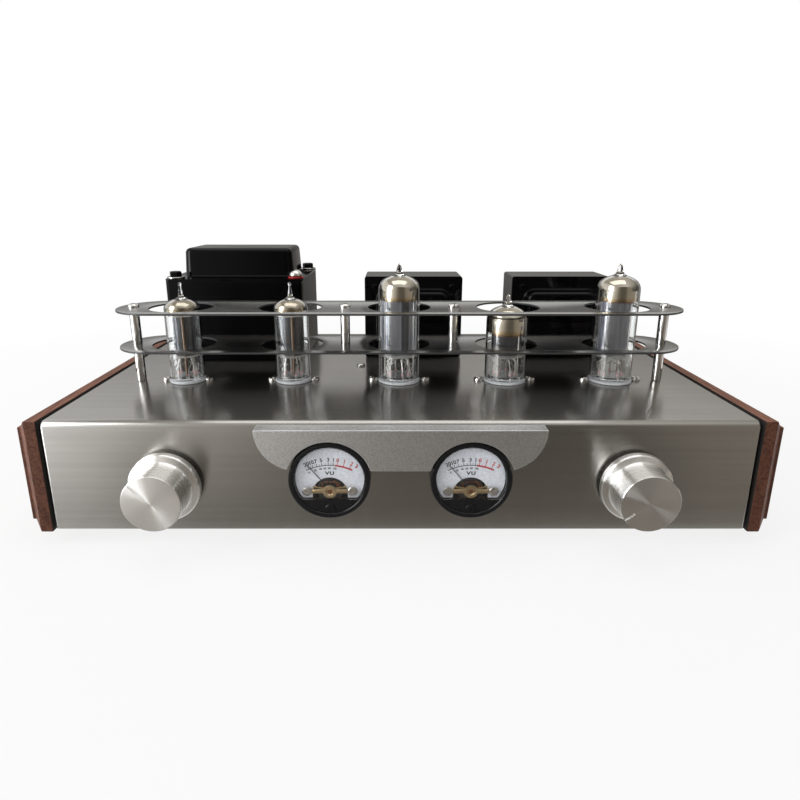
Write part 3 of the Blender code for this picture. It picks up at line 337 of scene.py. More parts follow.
# The wall on the right and the ceiling, from the floor up and across to the left
ROOM_CARD = (
    (-2.2, 0.0006, 0.1), (-2.2, 0.6, 0.14), (-2.0, 1.4, 0.45), (-1.0, 1.6, 0.7), (0.0, 1.65, 0.6),
    (1.4, 1.6, 0.5),
)

# Shape helpers


def lathe(profile, segments=ROUND, ring=False):
    """A line of (radius, height) points turned about local Z. A ring joins its last point to its first."""
    shape = bmesh.new()
    rings = []
    for radius, height in profile:
        count = segments if radius > 0 else 1
        turn = [2 * math.pi * step / segments for step in range(count)]
        rings.append([shape.verts.new((radius * math.cos(a), radius * math.sin(a), height)) for a in turn])
    pairs = list(zip(rings, rings[1:]))
    if ring:
        pairs.append((rings[-1], rings[0]))
    for lower, upper in pairs:
        for step in range(segments):
            after = (step + 1) % segments
            corners = [lower[step % len(lower)], lower[after % len(lower)]]
            corners += [upper[after % len(upper)], upper[step % len(upper)]]
            corners = list(dict.fromkeys(corners))
            if len(corners) > 2:
                shape.faces.new(corners)
    bmesh.ops.recalc_face_normals(shape, faces=shape.faces)
    return shape


def disc(radius, low, high, segments=SMALL_ROUND, edge=0):
    """A turned disc or bar between two heights, its rims eased."""
    line = ((0, low), (radius, low), (radius, high), (0, high))
    return lathe(soften(line, edge) if edge else line, segments)


def arc(centre, radius, start_deg, end_deg, steps):
    """Points of a circular arc, both ends included."""
    points = []
    for step in range(steps + 1):
        angle = math.radians(start_deg + (end_deg - start_deg) * step / steps)
        points.append((centre[0] + radius * math.cos(angle), centre[1] + radius * math.sin(angle)))
    return points


def soften(points, radius, steps=3):
    """The same open line with each inner corner rounded off."""
    line = [Vector(point) for point in points]
    made = [line[0]]
    for before, corner, after in zip(line, line[1:], line[2:]):
        back = before - corner
        ahead = after - corner
        start = corner + back.normalized() * min(radius, back.length * 0.45)
        end = corner + ahead.normalized() * min(radius, ahead.length * 0.45)
        for step in range(steps + 1):
            t = step / steps
            made.append(start * (1 - t) ** 2 + corner * 2 * t * (1 - t) + end * t**2)
    made.append(line[-1])
    return [tuple(point) for point in made]


def rounded_rectangle(width, height, radius, centre=(0, 0), steps=6):
    """Outline of a rectangle with round corners, anticlockwise."""
    x = width / 2 - radius
    y = height / 2 - radius
    points = []
    for start, side_x, side_y in ((0, x, y), (90, -x, y), (180, -x, -y), (270, x, -y)):
        points += arc((centre[0] + side_x, centre[1] + side_y), radius, start, start + 90, steps)
    return points


def loft(sections):
    """A closed skin through outlines with equal numbers of points, each given with its height."""
    shape = bmesh.new()
    rings = [[shape.verts.new((x, y, height)) for x, y in outline] for outline, height in sections]
    for lower, upper in zip(rings, rings[1:]):
        for index in range(len(lower)):
            after = (index + 1) % len(lower)
            shape.faces.new((lower[index], lower[after], upper[after], upper[index]))
    shape.faces.new(rings[0])
    shape.faces.new(rings[-1])
    bmesh.ops.recalc_face_normals(shape, faces=shape.faces)
    return shape


def prism(outline, low, high):
    """A straight bar of any outline between two heights."""
    return loft(((outline, low), (outline, high)))


def block(width, depth, low, high, centre=(0, 0)):
    """A square bar between two heights."""
    x, y = centre
    outline = [(x + sx * width / 2, y + sy * depth / 2) for sx, sy in ((-1, -1), (1, -1), (1, 1), (-1, 1))]
    return prism(outline, low, high)


def from_curve(curve):
    """The mesh of a curve as a shape."""
    holder = bpy.data.objects.new("holder", curve)
    mesh = bpy.data.meshes.new_from_object(holder)
    shape = bmesh.new()
    shape.from_mesh(mesh)
    bmesh.ops.remove_doubles(shape, verts=shape.verts, dist=0.0005)
    bmesh.ops.recalc_face_normals(shape, faces=shape.faces)
    bpy.data.objects.remove(holder)
    bpy.data.curves.remove(curve)
    bpy.data.meshes.remove(mesh)
    return shape


def add_line(curve, points):
    """A straight-sided line through points, added to a curve."""
    spline = curve.splines.new("POLY")
    spline.points.add(len(points) - 1)
    for point, place in zip(spline.points, points):
        point.co = (*place, 1)
    return spline


def flat_plate(outlines, low, high, edge):
    """A sheet cut to the first outline with the others as holes, its edges eased."""
    curve = bpy.data.curves.new("flat", "CURVE")
    curve.dimensions = "2D"
    curve.fill_mode = "BOTH"
    curve.extrude = (high - low) / 2 - edge
    curve.bevel_depth = edge
    curve.bevel_resolution = 1
    curve.offset = -edge
    for outline in outlines:
        add_line(curve, [(x, y, 0) for x, y in outline]).use_cyclic_u = True
    return moved(from_curve(curve), z=(low + high) / 2)


def wire(points, radius):
    """A round wire along a line of points."""
    curve = bpy.data.curves.new("wire", "CURVE")
    curve.dimensions = "3D"
    curve.bevel_depth = radius
    curve.bevel_resolution = 2
    curve.use_fill_caps = True
    add_line(curve, points)
    return from_curve(curve)


def lettering(text, size, level, weight=0.03, spacing=1.0):
    """Text as a thin print on a face at some height, centred, and thickened by a share of its size."""
    curve = bpy.data.curves.new("lettering", "FONT")
    curve.body = text
    curve.size = size
    curve.extrude = PRINT / 2
    curve.offset = weight * size
    curve.space_character = spacing
    curve.align_x = "CENTER"
    curve.align_y = "CENTER"
    return moved(from_curve(curve), z=level + PRINT / 2)


def moved(shape, x=0, y=0, z=0, rotation=(0, 0, 0)):
    """The shape turned about its own origin, then shifted."""
    turn = Matrix.Identity(4)
    for angle, axis in zip(rotation, "XYZ"):
        turn = Matrix.Rotation(angle, 4, axis) @ turn
    bmesh.ops.transform(shape, matrix=Matrix.Translation((x, y, z)) @ turn, verts=shape.verts)
    return shape


def stretched(shape, *factors):
    """The shape stretched along each axis."""
    bmesh.ops.scale(shape, vec=factors, verts=shape.verts)
    return shape


def joined(shapes):
    """Several shapes in one."""
    whole = bmesh.new()
    for shape in shapes:
        held = bpy.data.meshes.new("held")
        shape.to_mesh(held)
        shape.free()
        whole.from_mesh(held)
        bpy.data.meshes.remove(held)
    return whole


def cut(shape, cutters):
    """The shape without what the cutters take away."""
    holders = [placed("holder", part) for part in (shape, joined(cutters))]
    change = holders[0].modifiers.new("cut", "BOOLEAN")
    change.operation = "DIFFERENCE"
    change.solver = "EXACT"
    change.object = holders[1]
    graph = bpy.context.evaluated_depsgraph_get()
    result = bmesh.new()
    result.from_mesh(bpy.data.meshes.new_from_object(holders[0].evaluated_get(graph)))
    for holder in holders:
        bpy.data.objects.remove(holder)
    return result


def placed(name, shape, *finishes):
    """A shape as an object in the scene."""
    mesh = bpy.data.meshes.new(name)
    shape.to_mesh(mesh)
    shape.free()
    for finish in finishes:
        mesh.materials.append(finish)
    made = bpy.data.objects.new(name, mesh)
    bpy.context.scene.collection.objects.link(made)
    return made


def piece(name, shape, finish, slot, body="chassis", replaces=(), place=(0, 0, 0), turn=(0, 0, 0), bevel=0,
          rim=None, second=None, shadow=True):
    """One visible piece riding on a body. Eased edges (rim) or marked faces (second) may differ."""
    made = placed(name, shape, *[used for used in (finish, second, rim) if used])
    made.data.transform(Matrix.Scale(MM, 4))
    made.data.shade_smooth()
    made.data.set_sharp_from_angle(angle=math.radians(32))
    made.location = Vector(place) * MM
    made.rotation_euler = turn
    made.visible_shadow = shadow
    if bevel:
        eased = made.modifiers.new("eased edges", "BEVEL")
        eased.width = bevel * MM
        eased.segments = 2
        eased.limit_method = "ANGLE"
        eased.angle_limit = math.radians(40)
        eased.harden_normals = True
        if rim:
            eased.material = 1
    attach(made, body)
    if replaces:
        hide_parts(*replaces)


def box(node):
    """The low and the high corner of a CAD node's box."""
    return [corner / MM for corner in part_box(node)]


def middle(node):
    """The middle of a CAD node's box."""
    low, high = box(node)
    return (low + high) / 2


def screw(kind, slot_deg):
    """A pan-head screw with a straight slot."""
    radius, height, slot_width = SCREWS[kind]
    line = ((radius, 0), (radius, height * 0.45), (radius * 0.75, height), (0, height))
    head = lathe([(0, 0)] + soften(line, height * 0.4), SMALL_ROUND)
    slot = block(3 * radius, slot_width, height * 0.5, 2 * height)
    return cut(head, [moved(slot, rotation=(0, 0, math.radians(slot_deg)))])


# Finish helpers


def feed(tree, node, inputs):
    """Sets each input of a node to a constant, or links it to another node's output."""
    for name, value in inputs.items():
        if isinstance(value, bpy.types.NodeSocket):
            tree.links.new(value, node.inputs[name])
        else:
            node.inputs[name].default_value = value


def add(tree, kind, inputs, output=0, **settings):
    """The output of a new shader node."""
    node = tree.nodes.new("ShaderNode" + kind)
    for name, value in settings.items():
        setattr(node, name, value)
    feed(tree, node, inputs)
    return node.outputs[output]


def new_finish(name, colour, roughness, **sockets):
    """A material with one Principled shader. Words in a socket's name are joined by underscores."""
    made = bpy.data.materials.new(name)
    made.use_nodes = True
    made.diffuse_color = (*colour, 1)
    shader = made.node_tree.nodes["Principled BSDF"]
    inputs = {socket.replace("_", " "): value for socket, value in sockets.items()}
    feed(made.node_tree, shader, {"Base Color": (*colour, 1), "Roughness": roughness, **inputs})
    return made, made.node_tree, shader


def noise(tree, scale, detail=3.0, rough=0.5, distortion=0.0):
    """Cloudy noise whose grains have the size of one over the scale, in metres."""
    place = add(tree, "Mapping", {"Vector": add(tree, "TexCoord", {}, "Object"), "Scale": scale})
    values = {"Scale": 1.0, "Detail": detail, "Roughness": rough, "Distortion": distortion}
    return add(tree, "TexNoise", {"Vector": place, **values})


def ramp(tree, factor, stops):
    """Colours along a factor."""
    node = tree.nodes.new("ShaderNodeValToRGB")
    elements = node.color_ramp.elements
    for element, (position, colour) in zip((elements[0], elements[1]), (stops[0], stops[-1])):
        element.position = position
        element.color = (*colour, 1)
    for position, colour in stops[1:-1]:
        elements.new(position).color = (*colour, 1)
    feed(tree, node, {"Fac": factor})
    return node.outputs["Color"]


def shades(colour, tones):
    """Stops of a ramp: the colour made darker or lighter at each place."""
    return [(place, tuple(channel * factor for channel in colour)) for place, factor in tones]


def spread(tree, factor, low, high, start=0.25, end=0.75):
    """A factor stretched to run from low to high."""
    values = {"From Min": start, "From Max": end, "To Min": low, "To Max": high}
    return add(tree, "MapRange", {"Value": factor, **values}, "Result")


def bump(tree, shader, height, strength, distance):
    """Relief from a factor."""
    values = {"Strength": strength, "Distance": distance * MM}
    feed(tree, shader, {"Normal": add(tree, "Bump", {"Height": height, **values}, "Normal")})


def component(tree, axis, source="Object"):
    """One axis of the object's coordinates or of its normal."""
    return add(tree, "SeparateXYZ", {"Vector": add(tree, "TexCoord", {}, source)}, axis)


def along(tree, axis, low, high):
    """A factor from 0 to 1 between two places on an axis of the object."""
    return spread(tree, component(tree, axis), 0.0, 1.0, low, high)


def worked_out(tree, operation, *values):
    """The result of a sum on varying values."""
    return add(tree, "Math", dict(enumerate(values)), operation=operation)


def mixed(tree, factor, first, second, blend="MIX"):
    """A blend of two varying colours."""
    inputs = {"Factor": factor, "A": first, "B": second}
    return add(tree, "Mix", inputs, "Result", data_type="RGBA", blend_type=blend)


def textured(name, colour, roughness, grain, tones, sheen, relief=None, patches=None, axis=None, **sockets):
    """A finish whose gloss and relief follow a grain, as its tone does unless that has patches of its own.

    The brushed or turned ones have highlights that are stretched round an axis.
    """
    made, tree, shader = new_finish(name, colour, roughness, **sockets)
    texture = noise(tree, *grain)
    pattern = noise(tree, *patches) if patches else texture
    tone = ramp(tree, pattern, shades(colour, tones))
    feed(tree, shader, {"Base Color": tone, "Roughness": spread(tree, texture, *sheen)})
    if relief:
        bump(tree, shader, texture, *relief)
    if axis:
        feed(tree, shader, {"Tangent": add(tree, "Tangent", {}, direction_type="RADIAL", axis=axis)})
    return made


# Finishes


def brushed_steel(name, colour, roughness, anisotropic, grain):
    """Steel sheet brushed along X, with fine scratches and broader tonal bands."""
    return textured(
        name, colour, roughness, ((18, grain, grain), 3.0, 0.6), ((0.3, 0.95), (0.5, 1.0), (0.72, 1.04)),
        (roughness - 0.02, roughness + 0.03), (0.03, 0.01), ((4, grain / 7, grain / 7), 3.0, 0.55), "X",
        Metallic=1.0, Anisotropic=anisotropic,
    )


def plated(name, colour, roughness):
    """Plated metal with faint handling marks."""
    return textured(
        name, colour, roughness, ((220,) * 3, 4.0), ((0.3, 0.9), (0.7, 1.05)),
        (roughness * 0.7, roughness * 1.5), Metallic=1.0,
    )


def walnut():
    """Oiled walnut, its grain running front to back."""
    brown = (0.235, 0.098, 0.06)
    made, tree, shader = new_finish("walnut", brown, 0.5, Specular_IOR_Level=0.2)
    figure = noise(tree, (170, 8, 170), 5.0, 0.6, 1.4)
    grain = ramp(tree, figure, shades(brown, ((0.28, 0.5), (0.5, 1.0), (0.74, 1.4))))
    pores = noise(tree, (1500, 70, 1500), 3.0, 0.7)
    speckle = ramp(tree, pores, ((0.34, (0.45, 0.4, 0.38)), (0.5, (1, 1, 1)), (0.7, (1.15, 1.15, 1.15))))
    facing = worked_out(tree, "ABSOLUTE", component(tree, "Y", "Normal"))
    end_grain = ramp(tree, facing, ((0.5, (1, 1, 1)), (0.95, (0.5, 0.46, 0.44))))
    tone = mixed(tree, 1.0, mixed(tree, 1.0, grain, speckle, "MULTIPLY"), end_grain, "MULTIPLY")
    feed(tree, shader, {"Base Color": tone, "Roughness": spread(tree, pores, 0.62, 0.42)})
    bump(tree, shader, pores, 0.4, 0.12)
    return made


def gloss(name, colour, roughness, ripple, specular=0.35):
    """Moulded or painted gloss with a slightly uneven skin."""
    return textured(
        name, colour, roughness, ((110,) * 3, 2.0), ((0.3, 0.8), (0.72, 1.3)),
        (roughness * 0.8, roughness * 1.25), (0.2, ripple), ((900,) * 3, 3.0), Specular_IOR_Level=specular,
    )


def matt(name, colour, roughness, grain):
    """A matt finish with a fine grain."""
    return textured(
        name, colour, roughness, ((grain,) * 3, 3.0), ((0.3, 0.88), (0.7, 1.1)),
        (roughness - 0.06, roughness + 0.06), (0.2, 0.05),
    )


def clear_glass(name, tint):
    """Clear glass with the faint waviness of a blown wall."""
    made, tree, shader = new_finish(name, tint, 0.0, IOR=1.46, Transmission_Weight=1.0)
    waves = noise(tree, (90, 90, 45), 1.0)
    feed(tree, shader, {"Roughness": spread(tree, waves, 0.0, 0.03)})
    bump(tree, shader, waves, 0.05, 0.2)
    return made


def getter_mirror(name, top, bottom, silver, fringe):
    """The silver film inside a bulb's crown, thinning to a tinted fringe at its lower border."""
    made, tree, shader = new_finish(name, silver, 0.1, Metallic=1.0)
    uneven = noise(tree, (260, 260, 160), 3.0)
    level = worked_out(tree, "MULTIPLY_ADD", uneven, 0.22, along(tree, "Z", bottom * MM, top * MM))
    gold = (silver[0] * 0.9, silver[1] * 0.72, silver[2] * 0.42)
    tone = ramp(tree, level, ((0.1, fringe), (0.3, gold), (0.48, silver), (1.0, silver)))
    alpha = spread(tree, level, 0.0, 1.0, 0.08, 0.3)
    feed(tree, shader, {"Base Color": tone, "Alpha": alpha, "Roughness": spread(tree, uneven, 0.03, 0.12)})
    return made


def electrode_metal(name, colour, metallic):
    """Carbonised sheet with drawn vertical marks."""
    tones = ((0.3, 0.75), (0.7, 1.25))
    return textured(name, colour, 0.34, ((700, 700, 40), 3.0), tones, (0.26, 0.42), Metallic=metallic)


def lamination(name, colour, scale, specular):
    """Stacked steel sheets: fine lines across one axis under a thin varnish."""
    return textured(
        name, colour, 0.35, (scale, 1.0), ((0.36, 0.55), (0.62, 1.35)), (0.28, 0.5), (0.3, 0.1),
        Metallic=0.2, Specular_IOR_Level=specular,
    )


STEEL = brushed_steel("brushed steel", (0.42, 0.41, 0.39), 0.22, 0.9, 2600)
RAIL = brushed_steel("rail steel", (0.36, 0.36, 0.355), 0.24, 0.5, 1800)
# Bead-blasted plate with a fine sparkling grain, and its bevels: a bright-cut finish whose brighter, bluish
# tone is a painted highlight
BADGE = textured(
    "blasted aluminium", (0.90, 0.915, 0.93), 0.42, ((1900,) * 3, 2.0, 0.6), ((0.36, 0.86), (0.66, 1.14)),
    (0.38, 0.5), (0.22, 0.08), Metallic=1.0,
)
BRIGHT_CUT_PAINTED_HIGHLIGHT = textured(
    "bright-cut aluminium painted highlight", (0.93, 0.96, 1.0), 0.56, ((40, 900, 900), 2.0), ((0.3, 0.95), (0.7, 1.0)),
    (0.51, 0.61), Metallic=1.0,
)
# Turned aluminium, its tool marks running round the axis
KNOB = textured(
    "turned aluminium", (0.90, 0.89, 0.87), 0.27, ((5, 5, 1400), 2.0), ((0.3, 0.93), (0.7, 1.05)),
    (0.24, 0.31), None, ((60,) * 3, 3.0), "Z", Metallic=1.0, Anisotropic=1.0, Anisotropic_Rotation=0.25,
)
PLATING = plated("bright plating", (0.76, 0.75, 0.73), 0.09)
ZINC = plated("zinc screws", (0.74, 0.73, 0.7), 0.24)
BRASS = plated("brass", (0.8, 0.64, 0.4), 0.2)
COPPER = plated("enamelled copper", (0.34, 0.15, 0.08), 0.3)
WALNUT = walnut()
# Painted shade: near-black for the faces of the wood's groove against the steel
GROOVE_PAINTED_SHADE = matt("groove painted shade", (0.010, 0.008, 0.007), 0.8, 900)
# Painted shade: dark grey for the guard plates' edge faces, where the sheet's thickness falls in shadow
EDGE_PAINTED_SHADE = matt("edge painted shade", (0.045, 0.045, 0.045), 0.45, 1200)
BLACK = gloss("black plastic", (0.010, 0.010, 0.011), 0.18, 0.01)
VARNISH = gloss("black varnish", (0.0014, 0.0014, 0.0019), 0.08, 0.03, 0.13)
RED = gloss("red plastic", (0.42, 0.02, 0.02), 0.3, 0.02)
WHITE = gloss("white plastic", (0.75, 0.74, 0.72), 0.3, 0.02)
RUBBER = matt("rubber", (0.022, 0.022, 0.022), 0.75, 1500)
CARD = matt("dial card", (0.80, 0.83, 0.89), 0.5, 900)
CERAMIC = matt("ceramic", (0.86, 0.88, 0.91), 0.3, 700)
INK = matt("black ink", (0.02, 0.02, 0.022), 0.6, 900)
RED_INK = matt("red ink", (0.55, 0.03, 0.04), 0.6, 900)
BOARD = matt("circuit board", (0.03, 0.16, 0.07), 0.5, 600)
MICA = matt("mica", (0.5, 0.48, 0.44), 0.35, 700)
BEAD = matt("glass beads", (0.75, 0.5, 0.5), 0.2, 700)
TUBE_GLASS = clear_glass("tube glass", (0.97, 0.985, 0.985))
WINDOW = clear_glass("meter window", (0.99, 0.99, 0.99))
ANODE = electrode_metal("anode", (0.36, 0.37, 0.42), 0.9)
DARK_ANODE = electrode_metal("dark anode", (0.09, 0.092, 0.1), 0.8)
BROWN_ROD = electrode_metal("brown rod", (0.2, 0.14, 0.1), 0.7)
NICKEL = electrode_metal("nickel wire", (0.6, 0.58, 0.55), 1.0)
POWER_STACK = lamination("power stack", (0.002, 0.002, 0.0024), (6, 6, 2000), 0.08)
# Painted reflection: the stack's side faces are lighter than its black front, standing in for bright
# surroundings mirrored there; the fine lines are the stack's own
POWER_SIDE_PAINTED_REFLECTION = lamination("power stack side painted reflection", (0.085, 0.08, 0.072), (6, 6, 2000), 0.22)
OUTPUT_STACK = lamination("output stack", (0.085, 0.084, 0.08), (6, 2000, 6), 0.22)

# Chassis, wood and feet


def make_chassis():
    """The folded shell with rounded ends, the holes for the fittings, and the case's screws."""
    low, high = box("chassis_shell")

    def fold(inset, radius):
        front = low.y + inset
        rear = high.y - inset
        top = high.z - inset
        line = [(front, low.z)]
        line += arc((front + radius, top - radius), radius, 180, 90, 8)
        line += arc((rear - radius, top - radius), radius, 90, 0, 8)
        return line + [(rear, low.z)]

    def section(inset):
        return fold(inset, BEND_RADIUS - inset / 2) + fold(SHEET, BEND_RADIUS - SHEET)[::-1]

    turns = (0, 0.4, 0.8, 1.2, math.pi / 2)
    ends = [(0.9 * END_ROUND * (1 - math.sin(a)), END_ROUND * (1 - math.cos(a))) for a in turns]
    rings = [(section(inset), back - high.x) for inset, back in ends]
    rings += [(section(inset), high.x - back) for inset, back in reversed(ends)]
    shell = moved(loft(rings), rotation=ALONG_X)

    cutters = []
    reach = 3 * SHEET
    front_holes = [("meter_case_" + name, METER_HOLE) for name, _ in SIDES]
    front_holes += [("input_selector", BUSHING_HOLE), ("volume_control", BUSHING_HOLE)]
    for node, radius in front_holes:
        spot = middle(node)
        cutters.append(moved(disc(radius, -reach, reach, 64), spot.x, low.y, spot.z, FACING_FRONT))
    for number, kind in enumerate(TUBE_KINDS, 1):
        spot = middle(f"tube_socket_{number}")
        radius = CROWNS[kind][0][0] - SOCKET_HOLE_INSET
        cutters.append(moved(disc(radius, -reach, reach, 64), spot.x, spot.y, high.z))
    rear_holes = [("mains_inlet", prism(rounded_rectangle(*INLET_OPENING), -reach, reach))]
    rear_holes += [(f"terminal_cap_{number}", disc(TERMINAL_HOLE, -reach, reach)) for number in TERMINALS]
    for node, hole in rear_holes:
        spot = middle(node)
        cutters.append(moved(hole, spot.x, high.y, spot.z, FACING_REAR))
    piece("chassis_skin", cut(shell, cutters), STEEL, "steel", replaces=("chassis_shell",))

    tray_low, tray_high = box("bottom_plate")
    screws = []
    for x in (-TRAY_SCREW_X, 0, TRAY_SCREW_X):
        for y in (tray_low.y + TRAY_SCREW_INSET, tray_high.y - TRAY_SCREW_INSET):
            screws.append(moved(screw("tray", 25 + x + y), x, y, tray_low.z, (math.pi, 0, 0)))
    piece("tray_screws", joined(screws), ZINC, "bright_plating")
    piece("deck_screw", screw("deck", 20), PLATING, "bright_plating", place=(*DECK_SCREW, high.z))


def make_wood():
    """End panels with a moulded outer edge and a groove against the steel, its faces painted near-black as
    shade.
    """
    for name, side in SIDES:
        low, high = box("side_panel_" + name)
        inner, outer = sorted((abs(low.x), abs(high.x)))
        centre = ((low.y + high.y) / 2, (low.z + high.z) / 2)

        def rectangle(inset):
            half_y = (high.y - low.y) / 2 - inset
            half_z = (high.z - low.z) / 2 - inset
            corners = ((-1, -1), (1, -1), (1, 1), (-1, 1))
            return [(centre[0] + sy * half_y, centre[1] + sz * half_z) for sy, sz in corners]

        step = outer - WOOD_STEP
        rings = (
            (rectangle(WOOD_GROOVE_ALONG), side * inner),
            (rectangle(0), side * (inner + WOOD_GROOVE_ACROSS)),
            (rectangle(0), side * (step - WOOD_CHAMFER_ACROSS)),
            (rectangle(WOOD_CHAMFER_ALONG), side * step),
            (rectangle(WOOD_CHAMFER_ALONG), side * outer),
        )
        board = moved(loft(rings), rotation=ALONG_X)
        # The groove's faces take the painted shade
        groove = inner + WOOD_GROOVE_ACROSS * 1.01
        for face in board.faces:
            face.material_index = int(max(abs(corner.co.x) for corner in face.verts) < groove)
        piece("wood_panel_" + name, board, WALNUT, "walnut", replaces=("side_panel_" + name,),
              bevel=WOOD_EDGE, second=GROOVE_PAINTED_SHADE)


def make_feet():
    """Turned rubber feet with a dished sole."""
    for row in ("front", "rear"):
        for name, _ in SIDES:
            node = f"foot_{row}_{name}"
            low, high = box(node)
            radius = (high.x - low.x) / 2
            top = high.z - low.z
            line = (
                (0, SOLE_DISH), (radius * 0.45, SOLE_DISH), (radius * 0.5, 0), (radius * 0.82, 0),
                (radius, top), (0, top),
            )
            spot = middle(node)
            piece(node + "_moulding", lathe(soften(line, FOOT_EDGE), 48), RUBBER, "rubber", replaces=(node,),
                  place=(spot.x, spot.y, low.z))


# Front panel


def make_badge():
    """The bevelled escutcheon, with a bay round each meter."""
    low, high = box("badge_plate")
    half = high.x
    radius = BADGE_CORNER_RADIUS
    outline = [(half, high.z), (-half, high.z)]
    outline += arc((radius - half, low.z + radius), radius, 180, 270, 24)
    outline += arc((half - radius, low.z + radius), radius, 270, 360, 24)
    depth = high.y - low.y
    bays = []
    for name, _ in SIDES:
        spot = middle("meter_case_" + name)
        bays.append(moved(disc(BEZEL_RADIUS + BADGE_METER_GAP, -depth, 2 * depth, 128), spot.x, spot.z))
    plate = cut(prism(outline, 0, depth), bays)
    # The eased bevels take the bright-cut finish, its brighter bluish tone a painted highlight
    piece("escutcheon", plate, BADGE, "blasted_aluminium", replaces=("badge_plate",), place=(0, high.y, 0),
          turn=FACING_FRONT, bevel=BADGE_EDGE, rim=BRIGHT_CUT_PAINTED_HIGHLIGHT)


def polar(radius, angle_deg):
    """A point on the dial, measured from the middle of the scale's arc."""
    angle = math.radians(angle_deg)
    return radius * math.cos(angle), radius * math.sin(angle) - SCALE_DROP


def strip(half_width, start_deg, end_deg):
    """A band of the printed scale."""
    centre = (0, -SCALE_DROP)
    outline = arc(centre, SCALE_RADIUS + half_width, start_deg, end_deg, 24)
    outline += arc(centre, SCALE_RADIUS - half_width, end_deg, start_deg, 24)
    return prism(outline, DIAL_FRONT, DIAL_FRONT + PRINT)


def printed_number(text, size, radius, angle_deg):
    """A printed figure at a place on the scale, leaning outwards."""
    lean = math.radians(angle_deg - 90)
    return moved(lettering(text, size, DIAL_FRONT), *polar(radius, angle_deg), 0, (0, 0, lean))


def tick(length, width, angle_deg):
    """A printed mark outside the scale's arc."""
    bar = block(length, width, DIAL_FRONT, DIAL_FRONT + PRINT)
    return moved(bar, *polar(SCALE_RADIUS + length / 2, angle_deg), 0, (0, 0, math.radians(angle_deg)))


def make_meter(name):
    """A level meter: bezel, dial with its print, moving-coil works, needle and window."""
    centre = middle("meter_case_" + name)
    panel = box("chassis_shell")[0].y
    common = {"place": (centre.x, panel, centre.z), "turn": FACING_FRONT}
    line = (
        (0, -CASE_DEPTH), (CASE_RADIUS, -CASE_DEPTH), (CASE_RADIUS, PANEL_GAP), (BEZEL_RADIUS, PANEL_GAP),
        (BEZEL_RADIUS, BEZEL_PROUD), (WINDOW_RADIUS, BEZEL_PROUD), (WINDOW_RADIUS, LEDGE),
        (LEDGE_RADIUS, LEDGE), (LEDGE_RADIUS, 0), (0, 0),
    )
    bezel = lathe(soften(line, BEZEL_EDGE, 5))
    reach = WINDOW_RADIUS + WINDOW_FIT
    start = math.degrees(math.asin(COVER_CHORD / reach))
    below = arc((0, 0), reach, 180 + start, 360 - start, 32)
    eased = [(x * COVER_EASE_SHARE, y * COVER_EASE_SHARE - COVER_EASE_DROP) for x, y in below]
    cover = loft(((below, 0), (below, COVER_TOP - COVER_EASE_RISE), (eased, COVER_TOP)))
    piece("meter_body_" + name, joined([bezel, cover]), BLACK, "black_plastic",
          replaces=("meter_case_" + name,), **common)
    make_dial(name, common)
    make_meter_works(name, common)
    adjuster = moved(screw("adjuster", 70), 0, -ADJUSTER_DROP, COVER_TOP + 0.02)
    piece("meter_adjuster_" + name, adjuster, BLACK, "black_plastic", **common)

    arm = [(side * NEEDLE_TAIL_HALF, -NEEDLE_TAIL) for side in (-1, 1)]
    arm += [(side * NEEDLE_TIP_HALF, NEEDLE_LENGTH) for side in (1, -1)]
    pointer = prism(arm, NEEDLE_BACK + 0.05, NEEDLE_BACK + 0.3)
    hub = moved(disc(HUB_RADIUS, 0, HUB_HEIGHT, edge=0.1), z=NEEDLE_BACK)
    piece("needle_" + name, joined([pointer, hub]), INK, "needle_black", body="needle_" + name,
          replaces=("meter_needle_" + name,), place=(centre.x, panel, centre.z - PIVOT_DROP),
          turn=(math.pi / 2, math.radians(-NEEDLE_REST_DEG), 0))


def make_dial(name, common):
    """The card with its notch for the works, both colours of print, and the window in front."""
    reach = WINDOW_RADIUS - WINDOW_FIT
    start = math.degrees(math.asin(COVER_CHORD / reach))
    window = arc((0, 0), reach, -start, 180 + start, 64)
    notch = arc((0, -DIAL_NOTCH_DROP), DIAL_NOTCH_RADIUS, 180, 0, 32)
    feet = [(-DIAL_NOTCH_RADIUS, -COVER_CHORD), (DIAL_NOTCH_RADIUS, -COVER_CHORD)]
    card = prism(window + feet[:1] + notch + feet[1:], DIAL_FRONT - DIAL_THICKNESS, DIAL_FRONT)
    piece("dial_card_" + name, card, CARD, "dial_white", replaces=("meter_dial_" + name,), **common)

    black = [strip(SCALE_LINE_HALF, SCALE_START_DEG, RED_START_DEG)]
    black += [printed_number(text, NUMBER_SIZE, NUMBER_RADIUS, angle) for angle, text in BLACK_NUMBERS]
    black += [printed_number(text, PERCENT_SIZE, PERCENT_RADIUS, angle) for angle, text in PERCENTS]
    black += [tick(*LONG_TICK, angle) for angle, _ in BLACK_NUMBERS]
    black += [tick(*SHORT_TICK, angle) for angle in SMALL_TICKS]
    unit = lettering("VU", UNIT_SIZE, DIAL_FRONT, UNIT_WEIGHT, UNIT_SPACING)
    black.append(moved(stretched(unit, UNIT_STRETCH, 1, 1), 0, UNIT_HEIGHT))
    piece("dial_print_" + name, joined(black), INK, "needle_black", **common)
    red = [strip(RED_BAND_HALF, RED_START_DEG, SCALE_END_DEG)]
    red += [printed_number(text, NUMBER_SIZE, NUMBER_RADIUS, angle) for angle, text in RED_NUMBERS]
    red += [tick(*RED_TICK, angle) for angle, _ in RED_NUMBERS[:-1]]
    piece("dial_red_print_" + name, joined(red), RED_INK, "red_plastic", **common)
    piece("meter_window_" + name, prism(window, WINDOW_BACK, WINDOW_FRONT), WINDOW, "clear_glass",
          replaces=("meter_lens_" + name,), shadow=False, **common)


